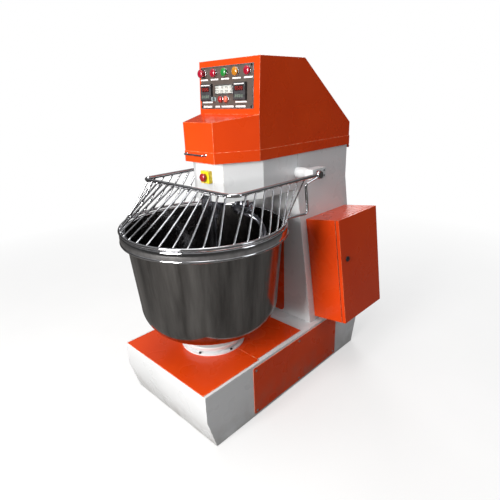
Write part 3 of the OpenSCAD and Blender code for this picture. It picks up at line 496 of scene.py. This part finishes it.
RED = moulded("red_lens", (0.30, 0.004, 0.022), (0.44, 0.010, 0.036), **GLOSSY)
DARK_RED = moulded("dark_red_cap", (0.26, 0.010, 0.012), (0.38, 0.020, 0.020), **GLOSSY)
GREEN = moulded("green_lens", (0.010, 0.17, 0.03), (0.02, 0.28, 0.05), **GLOSSY)
AMBER = moulded("amber_lens", (0.42, 0.16, 0.01), (0.58, 0.24, 0.02), **GLOSSY)
CORAL = moulded("orange_cap", (0.60, 0.12, 0.07), (0.74, 0.18, 0.11), **GLOSSY)
TEAL = moulded("teal_knob", (0.17, 0.25, 0.26), (0.26, 0.35, 0.36))
KEYPAD = moulded("keypad_green", (0.09, 0.12, 0.10), (0.14, 0.18, 0.15))
GREY_FACE = moulded("timer_grey", (0.040, 0.040, 0.043), (0.065, 0.065, 0.070))
WINDOW = moulded("dark_window", (0.020, 0.006, 0.006), (0.035, 0.010, 0.010), low=0.08, high=0.16)
DIGITS = moulded("red_digits", (0.34, 0.035, 0.03), (0.44, 0.05, 0.04))


# ---- painted sheet and other CAD shapes that keep their form ----

FORMED = [
    (ORANGE, "orange_paint", 0.0016, ["front_deck_plate", "rear_deck_plate", "side_panel_right",
        "side_panel_left", "column_front_panel"]),
    (ORANGE, "orange_paint", 0.0011, ["hood_cover", "electrical_box", "box_door"]),
    (WHITE, "white_paint", 0.0018, ["base_shell", "column_shell", "head_casing"]),
    (WHITE, "white_paint", 0.0012, ["rear_cover", "guard_pivot_mounts"]),
    (YELLOW, "yellow_plastic", 0.0015, ["estop_box"]),
    (PANEL, "panel_brown", 0.0008, ["control_plate"]),
]
for material, slot, width, names in FORMED:
    for node in names:
        eased(node, width, material, slot)

PLAIN = [
    (MILL_STEEL, ["base_floor_plate", "bowl_shaft"]),
    (PLATED, ["cover_screws", "fixed_hinge_leaves", "hinge_pins", "shaft_bearings"]),
    (WHITE, ["bowl_bearing_housing", "spiral_bearing_housing"]),
    (MOTOR_PAINT, ["bowl_motor", "spiral_motor"]),
    (RUBBER, ["bowl_belt", "spiral_belt", "box_seal"]),
    (TOOL_STEEL, ["breaker_bar"]),
    (BLACKENED, ["machine_bolts"]),
    (CHROME, ["guard_spindles", "control_plate_screws"]),
    (GREY, ["contactor_plate"]),
    (BLACK, ["cable_gland", "door_lock"]),
    (LABEL, ["label_strips"]),
    (CAST_IRON, ["bowl_pulley", "bowl_motor_pulley", "spiral_pulley", "spiral_motor_pulley"]),
]
for material, names in PLAIN:
    for node in names:
        mesh = nodes[node].data
        mesh.materials.clear()
        mesh.materials.append(material)


# ---- bowl and turntable ----


def bowl_side(inset):
    """The bowl's outer line, inset: a flat floor, an elliptical knuckle, a straight flared side."""
    a = np.radians(np.linspace(90, 0, 26))
    out = KNUCKLE_RADIUS - KNUCKLE_WIDTH + (KNUCKLE_WIDTH - inset) * np.cos(a)
    knuckle = np.stack([out, KNUCKLE_TOP - (KNUCKLE_HEIGHT - inset) * np.sin(a)], -1)
    flat = [[0, BOWL_FLOOR + inset], [FLOOR_FLAT, BOWL_FLOOR + FLOOR_RISE + inset]]
    s = np.linspace(0, 1, 8)[1:, None]
    side = knuckle[-1] * (1 - s) + np.array([BOWL_RADIUS - inset, BOWL_EDGE]) * s
    return np.concatenate([flat, knuckle, side])


def bowl():
    """The spun bowl: its outer line up, its inner line back down, turned round the bowl's axis."""
    profile = np.concatenate([bowl_side(0.0), bowl_side(BOWL_WALL)[::-1]])
    piece("bowl_spun_shell", turned(profile, 144), BOWL_STEEL, "bowl", "bowl_steel", "bowl_shell")


def rim():
    """The rolled collar: rounded top, slightly bellied skirt, and a rolled bead at its lower edge."""
    ease, lip, belly, sheet, bead = 0.0015, 0.008, 0.0012, 0.004, 0.006
    low = RIM_TOP - RIM_DEPTH + bead
    inner = BOWL_RADIUS - BOWL_WALL
    profile = [(inner, BOWL_EDGE), (inner, RIM_TOP - ease), (inner + ease, RIM_TOP)]
    profile += arc((RIM_EDGE - lip, RIM_TOP - lip), lip, 90, 4, 9)
    profile += [(RIM_EDGE + belly, RIM_TOP - 2 * lip), (RIM_EDGE + belly, RIM_TOP - 0.026)]
    profile += arc((RIM_EDGE - bead / 2, low), bead, 62, -186, 18)
    profile += [(RIM_EDGE - sheet, low + bead), (RIM_EDGE - sheet, RIM_TOP - 0.010)]
    profile += [(RIM_EDGE - 0.007, RIM_TOP - lip), (BOWL_RADIUS, RIM_TOP - lip), (BOWL_RADIUS, BOWL_EDGE)]
    collar = turned(profile, 144, closed=True)
    piece("bowl_rolled_rim", collar, CHROME, "bowl", "chrome", "bowl_rim", sharp=50)


def turntable():
    """The cast turntable: a flaring skirt with a rounded lip, and a hub that rises to the bowl."""
    hub, ease, lip = TABLE_FOOT - 0.032, 0.002, 0.004
    profile = [(0, TABLE_UNDER), (TABLE_FOOT - ease, TABLE_UNDER), (TABLE_FOOT, TABLE_UNDER + ease)]
    profile += [(TABLE_EDGE, TABLE_UNDER + 0.028)]
    profile += arc((TABLE_EDGE - lip, TABLE_UNDER + 0.031), lip, 0, 90, 5)
    profile += [(TABLE_EDGE - 3 * lip, TABLE_UNDER + 0.036)]
    profile += [(hub + 3 * lip, TABLE_UNDER + 0.040), (hub + lip, TABLE_UNDER + 0.044)]
    profile += [(hub, BOWL_FLOOR + FLOOR_RISE * hub / FLOOR_FLAT), (0, BOWL_FLOOR)]
    piece("turntable_casting", turned(profile, 96), WHITE, "bowl", "white_paint", "bowl_turntable")


# ---- spiral ----


def smooth(a):
    """The S-curve a a (3 - 2 a) of a held between 0 and 1."""
    b = np.clip(a, 0, 1)
    return b * b * (3 - 2 * b)


def spiral():
    """The hook: a rod on a falling helix that leaves the hub near the shaft and turns in at its tip."""
    swing_out, turn_in, steady, blunt, lap = 0.13, 0.3, 0.25, 0.025, 0.002
    u = np.linspace(0, 1, 260)
    reach = HOOK_START + (COIL_RADIUS - HOOK_START) * smooth(u / swing_out)
    reach -= (COIL_RADIUS - HOOK_TIP) * smooth((u - (1 - turn_in)) / turn_in)
    turn = HOOK_ANGLE - TAU * COIL_TURNS * u
    top = HUB_UNDER + lap
    fall = (top - COIL_ROD - lap - COIL_LOW - COIL_ROD) * (steady * u + (1 - steady) * smooth(u))
    x = SPIRAL_AXIS[0] + reach * np.cos(turn)
    y = SPIRAL_AXIS[1] + reach * np.sin(turn)
    path = np.stack([x, y, top - COIL_ROD + 2 * lap - fall], -1)
    rod = COIL_ROD * np.sqrt(np.clip(1 - smooth((u - (1 - blunt)) / blunt) ** 2, 0.02, 1))
    start = np.array([[path[0][0], path[0][1], HUB_UNDER + HUB_THICK / 2]])
    route = np.concatenate([start, path])
    hook = tube(route, np.concatenate([[COIL_ROD], rod]), 18, up=(0.02, 0.01, 1))
    piece("spiral_hook_forged", hook, TOOL_STEEL, "spiral", "tool_steel", "spiral_hook", sharp=60)


def spiral_shaft():
    """The shaft and its hub disc with turned chamfers, a fillet between them and a circle of screws."""
    top = HUB_UNDER + HUB_THICK
    chamfer, fillet, end, circle, count = 0.003, 0.010, 0.002, 0.045, 6
    profile = [(0, HUB_UNDER), (HUB_RADIUS - chamfer, HUB_UNDER), (HUB_RADIUS, HUB_UNDER + chamfer)]
    profile += [(HUB_RADIUS, top - chamfer), (HUB_RADIUS - chamfer, top)]
    profile += arc((SHAFT_RADIUS + fillet, top + fillet), fillet, 270, 180, 7)
    profile += [(SHAFT_RADIUS, SHAFT_TOP - end), (SHAFT_RADIUS - end, SHAFT_TOP), (0, SHAFT_TOP)]
    parts = [at(turned(profile, 64), *SPIRAL_AXIS)]
    screw = [(0, 0), (0.006, 0), (0.006, 0.005), (0.005, 0.006), (0.003, 0.006), (0.003, 0.003), (0, 0.003)]
    for i in range(count):
        a = i * TAU / count
        x = SPIRAL_AXIS[0] + circle * math.cos(a)
        y = SPIRAL_AXIS[1] + circle * math.sin(a)
        parts.append(at(turned(screw, 16), x, y, top))
    piece("spiral_shaft_turned", parts, TOOL_STEEL, "spiral", "tool_steel", "spiral_shaft")


# ---- wire guard ----


def ring_point(angle):
    """A point on the guard's lower ring, at an angle from its front."""
    return [RING_RADIUS * math.sin(angle), RING_CENTRE - RING_RADIUS * math.cos(angle), RING_HEIGHT]


def bar_head(i):
    """Where bar i meets the top rail: evenly along the front, then evenly down the side."""
    if i < BARS_ON_FRONT:
        x = (i + 0.5) * (RAIL_HALF - RAIL_BEND) / (BARS_ON_FRONT - 0.5)
        return [x, RAIL_FRONT, RAIL_HEIGHT]
    clear_of_end = 0.024
    run = END_Y - clear_of_end - RAIL_FRONT - RAIL_BEND
    y = RAIL_FRONT + RAIL_BEND + (i - BARS_ON_FRONT + 0.5) * run / (BARS_A_SIDE - BARS_ON_FRONT)
    return [RAIL_HALF, y, RAIL_HEIGHT]


def guard_frame():
    """The top rail, bent round its two front corners, and the lower ring that runs into the end frames."""
    x, y, z = RAIL_HALF, RAIL_FRONT, RAIL_HEIGHT
    back = PIVOT_Y - 0.014
    rail = bent([(-x, back, z), (-x, y, z), (x, y, z), (x, back, z)], RAIL_BEND, 14)
    a = np.linspace(-RING_SPAN, RING_SPAN, 97)
    across, along = RING_RADIUS * np.sin(a), RING_CENTRE - RING_RADIUS * np.cos(a)
    ring = np.stack([across, along, np.full(len(a), RING_HEIGHT)], -1)
    rise = [(END_X, END_Y, RING_HEIGHT), (END_X, END_Y - 0.018, z - 0.032), (x, PIVOT_Y - 0.016, z - 0.010)]
    end = bent([ring_point(RING_SPAN)] + rise, radius=0.016)
    bore, edge, half, chamfer = SPINDLE + 0.0001, 0.019, 0.009, 0.0015
    hub = [(bore, -half), (edge - chamfer, -half), (edge, chamfer - half), (edge, half - chamfer)]
    hub += [(edge - chamfer, half), (bore, half)]
    bush = carried(turned(hub, 40, closed=True), (x, PIVOT_Y, z), (0, 1, 0), (0, 0, 1), (1, 0, 0))
    parts = [tube(rail, RAIL_ROD, 16), tube(ring, RING_ROD, 14)]
    parts += mirrored(tube(end, RING_ROD, 14, up=(1, 0, 0.01))) + mirrored(bush)
    piece("guard_bent_frame", parts, CHROME, "guard", "chrome", "guard_frame", sharp=50)


def guard_bars():
    """The bars: straight rods from ring to rail, swelling into a small weld at each end."""
    root, weld_run, swell = 0.0045, 0.0075, 0.0018
    parts = []
    for i in range(BARS_A_SIDE):
        foot, head = np.array(ring_point(BAR_STEP * (i + 0.5))), np.array(bar_head(i))
        length = np.linalg.norm(head - foot)
        along = np.array([root, 0.006, 0.0085, root + weld_run, 0.05, 0.5 * length])
        stops = np.concatenate([along, length - along[-2::-1]])
        from_end = np.minimum(stops, length - stops)
        radius = BAR_ROD + swell * np.clip(1 - (from_end - root) / weld_run, 0, 1) ** 1.5
        path = foot + (head - foot) * (stops / length)[:, None]
        parts += mirrored(tube(path, radius, 10, up=(1, 0, 0)))
    piece("guard_welded_bars", parts, CHROME, "guard", "chrome", "guard_bars", sharp=50)


# ---- hood furniture ----


def lift_handle():
    """The handle: one rod bent twice, standing off the nose on two turned feet."""
    left, right, height = -0.080, 0.042, 1.168
    stand, wall, face, bend, rod = -0.019, -0.0045, -0.005, 0.007, 0.004
    corners = [(left, wall, height), (left, stand, height), (right, stand, height), (right, wall, height)]
    foot = turned([(0, 0), (0.0075, 0), (0.0075, 0.001), (0.005, 0.0025), (0, 0.0025)], 24)
    parts = [tube(bent(corners, bend), rod, 16)]
    parts += [carried(foot, (x, face, height), *FORWARD) for x in (left, right)]
    piece("hood_bent_handle", parts, CHROME, "hood", "chrome", "hood_handle", sharp=50)


def plate_border():
    """A narrow bright frame a little inside the control plate's edge, with mitred corners."""
    x, v, half_width, half_height = -0.009, 0.108, 0.162, 0.086
    inset, wide, sunk, proud = 0.0025, 0.0026, 0.0029, 0.0036
    rings = []
    for grow, out in ((0, sunk), (0, proud), (-wide, proud), (-wide, sunk)):
        a, b = half_width - inset + grow, half_height - inset + grow
        rings.append([(x - a, v - b, out), (x + a, v - b, out), (x + a, v + b, out), (x - a, v + b, out)])
    border = net(np.array(rings), wrap_rows=True, wrap_columns=True)
    piece("control_plate_border", on_face(border), PLATED, "hood", "bright_steel")


def bezels():
    """The metal collars round the push buttons: turned rings with a rounded shoulder."""
    gap, wide, straight, shoulder, top = 0.0004, 0.003, 0.0065, 0.0012, 0.009
    places = [(x, BUTTON_V, BUTTON_RADIUS) for x in BUTTON_XS]
    places += [(x, PUSH_V, PUSH_RADIUS) for x in PUSH_XS]
    parts = []
    for x, v, r in places:
        profile = [(r + gap, PLATE_OUT), (r + wide, PLATE_OUT), (r + wide, straight)]
        profile += arc((r + wide - shoulder, top - shoulder), shoulder, 0, 90, 4) + [(r + gap, top)]
        parts.append(on_face(at(turned(profile, 40, closed=True), x, v)))
    piece("button_collars", parts, CHROME, "hood", "chrome", "button_bezels")


def lens(node, x, v, radius, reach, material, slot, mushroom=0.0):
    """A cap on its stem: a skirt, a flare of `mushroom` and a dome r cos a, h sin a."""
    stem, foot, ease, shy, neck, flare = 0.007, 0.0076, 0.0008, 0.0003, 0.0012, 0.001
    skirt = reach - DOME_HEIGHT
    a = np.radians(np.linspace(0, 90, 10))
    profile = [(0, STEM_END), (stem, STEM_END), (stem, foot), (radius - ease, foot)]
    profile += [(radius - shy, foot + ease), (radius - shy, skirt - neck)]
    profile += [(radius + mushroom, skirt - flare)]
    profile += list(zip((radius + mushroom) * np.cos(a), skirt + (reach - skirt) * np.sin(a)))
    piece(node + "_cap", on_face(at(turned(profile, 40), x, v)), material, node, slot, node)


def selector():
    """The selector: a round skirt, a grip bar across it and a pale pointer line."""
    r = KNOB_RADIUS
    stem, foot, straight, top, ease = 0.0056, 0.0034, 0.0065, 0.008, 0.0012
    base = [(0, STEM_END), (stem, STEM_END), (stem, foot), (r, foot), (r, straight)]
    base += [(r - ease, top), (0, top)]
    grip_half, grip_out, margin = 0.004, 0.020, 0.001
    across = (KNOB_X - grip_half, KNOB_X + grip_half)
    grip = slab(across, (PUSH_V + margin - r, PUSH_V + r - margin), (top - 0.0005, grip_out))
    parts = [on_face(at(turned(base, 40), KNOB_X, PUSH_V)), on_face(grip)]
    piece("selector_grip", parts, TEAL, "selector_knob", "teal_plastic", "selector_knob", round_edges=0.0009)
    line_half = 0.0007
    along = (PUSH_V, PUSH_V + r - 2 * margin)
    line = slab((KNOB_X - line_half, KNOB_X + line_half), along, (grip_out - 0.0001, grip_out + 0.0003))
    piece("selector_pointer", on_face(line), LABEL, "selector_knob", "label_white")


SEGMENTS = {"0": "abcdef", "1": "bc", "2": "abged", "3": "abgcd", "4": "fgbc", "5": "afgcd", "8": "abcdefg"}


def digit(mark, x, v, height, out):
    """A seven-segment figure as thin bars on a display."""
    w, h, t = height * 0.28, height * 0.5, height * 0.07
    bars = {"a": (-w, w, h - t, h + t), "g": (-w, w, -t, t), "d": (-w, w, -h - t, -h + t),
        "b": (w - t, w + t, 0, h), "c": (w - t, w + t, -h, 0), "e": (-w - t, -w + t, -h, 0),
        "f": (-w - t, -w + t, 0, h)}
    parts = []
    for segment in SEGMENTS[mark]:
        left, right, low, high = bars[segment]
        parts.append(slab((x + left, x + right), (v + low, v + high), (out - 0.0003, out + 0.0004)))
    return parts


def tile(x, v, width, height, low, high):
    """A flat block on the control face, centred at x, v, between two heights above the face."""
    return slab((x - width / 2, x + width / 2), (v - height / 2, v + height / 2), (low, high))


def timers():
    """Two square timers: black case, dark grey raised face, dark window with red figures, keypad below."""
    cases, faces, windows, figures, keys, strips = [], [], [], [], [], []
    case_out, face_under, face_out, laid = 0.0155, 0.0150, 0.0165, 0.0163
    border = 0.003
    face_side = TIMER_SIDE - 2 * border
    window_v, figure_pitch, key_pitch = TIMER_V + 0.012, 0.011, 0.0125
    for x in TIMER_XS:
        cases.append(tile(x, TIMER_V, TIMER_SIDE, TIMER_SIDE, PLATE_OUT, case_out))
        faces.append(tile(x, TIMER_V, face_side, face_side, face_under, face_out))
        strips.append(tile(x, TIMER_V + 0.0285, 0.058, 0.004, laid, 0.0169))
        windows.append(tile(x, window_v, 0.050, 0.020, laid, 0.0168))
        for i, mark in enumerate("0520"):
            figures += digit(mark, x + (i - 1.5) * figure_pitch, window_v, 0.011, 0.0169)
            keys.append(tile(x + (i - 1.5) * key_pitch, TIMER_V - 0.018, 0.0095, 0.012, laid, 0.0174))
    housings = [on_face(p) for p in cases]
    piece("timer_cases", housings, BLACK, "hood", "black_plastic", "timers", round_edges=0.0012)
    piece("timer_faces", [on_face(p) for p in faces], GREY_FACE, "hood", "grey_plastic", round_edges=0.0005)
    piece("timer_windows", [on_face(p) for p in windows], WINDOW, "hood", "black_plastic")
    piece("timer_figures", [on_face(p) for p in figures], DIGITS, "hood", "red_plastic")
    piece("timer_keys", [on_face(p) for p in keys], KEYPAD, "hood", "grey_plastic", round_edges=0.0004)
    piece("timer_strips", [on_face(p) for p in strips], LABEL, "hood", "label_white")


def display():
    """The middle display: a silver case, a pale window and two rows of dark figures."""
    left, right, low, high = -0.074, 0.036, 0.080, 0.120
    border, first, pitch, figure = 0.005, 0.012, 0.0096, 0.0085
    case_out, window_under, window_out = 0.0072, 0.007, 0.008
    case = slab((left, right), (low, high), (PLATE_OUT, case_out))
    window = slab((left + border, right - border), (low + border, high - border), (window_under, window_out))
    figures = []
    for v, marks in ((0.108, "00 12 45 0"), (0.093, "50 20 08 3")):
        for i, mark in enumerate(marks):
            if mark != " ":
                figures += digit(mark, left + first + i * pitch, v, figure, window_out + 0.0001)
    piece("display_case", on_face(case), PLATED, "hood", "bright_steel", "display_unit", round_edges=0.0008)
    piece("display_window", on_face(window), SILVER, "hood", "grey_plastic", round_edges=0.0003)
    piece("display_figures", [on_face(p) for p in figures], BLACK, "hood", "black_plastic")


def emergency_stop():
    """The mushroom: a domed head r cos a, h sin a with a rolled edge, on its stem."""
    reach, radius, stem, sunk, edge = 0.0142, 0.018, 0.008, -0.014, 0.005
    profile = [(0, sunk), (stem, sunk), (stem, 0), (radius - 0.004, 0), (radius - 0.0008, 0.0018)]
    profile += [(radius, 0.0045)]
    a = np.radians(np.linspace(12, 90, 9))
    profile += list(zip(radius * np.cos(a), edge + (reach - edge) * np.sin(a)))
    head = carried(turned(profile, 44), ESTOP_PLACE, *FORWARD)
    piece("estop_mushroom", head, DARK_RED, "estop_button", "dark_red_plastic", "estop_button")


UPPER_CAPS = [
    ("stop_button", 0.034, RED, "red_plastic"),
    ("red_button", 0.022, RED, "red_plastic"),
    ("green_button", 0.022, GREEN, "green_plastic"),
    ("amber_button", 0.022, AMBER, "amber_plastic"),
    ("mixer_button", 0.022, RED, "red_plastic"),
]
PUSH_CAPS = [
    ("left_push_button", 0.018, DARK_RED, "dark_red_plastic"),
    ("right_push_button", 0.018, CORAL, "orange_plastic"),
]

bowl()
rim()
turntable()
spiral()
spiral_shaft()
guard_frame()
guard_bars()
lift_handle()
plate_border()
bezels()
for x, (node, reach, material, slot) in zip(BUTTON_XS, UPPER_CAPS):
    lens(node, x, BUTTON_V, BUTTON_RADIUS, reach, material, slot, mushroom=0.003)
for x, (node, reach, material, slot) in zip(PUSH_XS, PUSH_CAPS):
    lens(node, x, PUSH_V, PUSH_RADIUS, reach, material, slot)
selector()
timers()
display()
emergency_stop()


# ---- floor, light and camera ----

WALL = 1.0
FLOOR_RINGS = [0, 2, 8, 60]
FLOOR_DROP = 0.0005
FLOOR_BOUNCE = (0.16, 0.155, 0.15)
# The floor begins to fade at the near distance and has become the wall's colour at the far one.
FADE_NEAR = 0.9
FADE_FAR = 3.6
NEAR_SHARE = 0.45
STUDIO_GREYS = [(0.0, 0.03), (0.49, 0.03), (0.62, 0.07), (0.80, 0.32), (1.0, 0.46)]
EYE = (1.3599, -1.0949, 1.3916)


def floor():
    """A wide pale floor that fades into the walls, and throws little light back at the machine."""
    part = turned([(r, 0) for r in FLOOR_RINGS], 72)
    mesh = bpy.data.meshes.new("floor")
    mesh.from_pydata(part[0].tolist(), [], part[1].tolist())
    ground = bpy.data.objects.new("floor", mesh)
    bpy.context.scene.collection.objects.link(ground)
    made = Finish("pale_floor", Specular_IOR_Level=0.15)
    made.colour(made.ramp(made.noise(2.0, 3.0), [(0.3, (0.80, 0.80, 0.80)), (0.7, (0.83, 0.83, 0.83))]))
    made.roughness(made.spread(made.noise(6.0, 2.0), 0.3, 0.7, 0.55, 0.7))
    length = made.add("VectorMath", operation="LENGTH")
    made.join(made.coords, length.inputs[0])
    glow = made.add("Emission")
    glow.inputs["Color"].default_value = (WALL, WALL, WALL, 1)
    fade = made.add("MixShader")
    made.join(made.spread(length.outputs["Value"], FADE_NEAR, FADE_FAR, NEAR_SHARE), fade.inputs[0])
    made.join(made.shader.outputs[0], fade.inputs[1])
    made.join(glow.outputs[0], fade.inputs[2])
    dull = made.add("BsdfDiffuse")
    dull.inputs["Color"].default_value = (*FLOOR_BOUNCE, 1)
    seen = made.add("MixShader")
    made.join(made.add("LightPath").outputs["Is Camera Ray"], seen.inputs[0])
    made.join(dull.outputs[0], seen.inputs[1])
    made.join(fade.outputs[0], seen.inputs[2])
    made.join(seen.outputs[0], made.tree.nodes["Material Output"].inputs[0])
    mesh.materials.append(made.material)
    ground.location.z = -FLOOR_DROP


def soft_box(name, place, aim, width, height, power, tint=(1, 1, 1)):
    """A rectangular studio light that faces a point."""
    light = bpy.data.lights.new(name, "AREA")
    light.shape = "RECTANGLE"
    light.size = width
    light.size_y = height
    light.energy = power
    light.color = tint
    lamp = bpy.data.objects.new(name, light)
    bpy.context.scene.collection.objects.link(lamp)
    place = np.array(place, float)
    back = unit(place - np.array(aim, float))
    right = unit(np.cross((0, 0, 1), back))
    lamp.matrix_world = Matrix(np.column_stack([right, np.cross(back, right), back]).tolist()).to_4x4()
    lamp.location = place


def surroundings():
    """A studio that is bright overhead and dim at the walls, with pale walls where the camera looks."""
    world = bpy.data.worlds.new("studio")
    world.use_nodes = True
    tree = world.node_tree
    add = tree.nodes.new
    join = tree.links.new
    coords = add("ShaderNodeTexCoord")
    split = add("ShaderNodeSeparateXYZ")
    join(coords.outputs["Generated"], split.inputs[0])
    sky = add("ShaderNodeValToRGB")
    while len(sky.color_ramp.elements) < len(STUDIO_GREYS):
        sky.color_ramp.elements.new(0.5)
    for element, (place, grey) in zip(sky.color_ramp.elements, STUDIO_GREYS):
        element.position = place
        element.color = (grey, grey, grey, 1)
    lift = add("ShaderNodeMapRange")
    lift.inputs["From Min"].default_value = -1.0
    join(split.outputs["Z"], lift.inputs["Value"])
    join(lift.outputs[0], sky.inputs[0])
    dim, pale = add("ShaderNodeBackground"), add("ShaderNodeBackground")
    join(sky.outputs[0], dim.inputs[0])
    pale.inputs[0].default_value = (WALL, WALL, WALL, 1)
    choose = add("ShaderNodeMixShader")
    join(add("ShaderNodeLightPath").outputs["Is Camera Ray"], choose.inputs[0])
    join(dim.outputs[0], choose.inputs[1])
    join(pale.outputs[0], choose.inputs[2])
    join(choose.outputs[0], tree.nodes["World Output"].inputs[0])
    bpy.context.scene.world = world


def camera():
    """A camera at eye height in front of the machine's right corner, leaning very slightly."""
    yaw, pitch, roll = 0.781, -0.3609, -0.0351
    ahead = np.array([-math.sin(yaw) * math.cos(pitch), math.cos(yaw) * math.cos(pitch), math.sin(pitch)])
    level = np.array([math.cos(yaw), math.sin(yaw), 0])
    raised = np.cross(level, ahead)
    right = math.cos(roll) * level + math.sin(roll) * raised
    up = math.cos(roll) * raised - math.sin(roll) * level
    data = bpy.data.cameras.new("camera")
    data.sensor_width = 36.0
    data.lens = 29.461
    data.clip_start = 0.05
    eye = bpy.data.objects.new("camera", data)
    bpy.context.scene.collection.objects.link(eye)
    eye.matrix_world = Matrix(np.column_stack([right, up, -ahead]).tolist()).to_4x4()
    eye.location = EYE
    bpy.context.scene.camera = eye


floor()
soft_box("key", (0.35, -3.5, 1.9), (0, 0, 0.85), 1.5, 2.2, 225, (1.0, 0.985, 0.96))
soft_box("side", (3.3, 0.9, 1.9), (0, 0.3, 0.8), 0.9, 2.0, 17, (0.93, 0.97, 1.0))
soft_box("top", (0.0, -0.2, 3.6), (0, 0.1, 0), 1.6, 1.6, 30)
soft_box("back", (-2.0, 3.2, 2.4), (0, 0.2, 0.8), 1.6, 1.6, 60)
surroundings()
camera()
bpy.context.scene.view_settings.view_transform = "Standard"
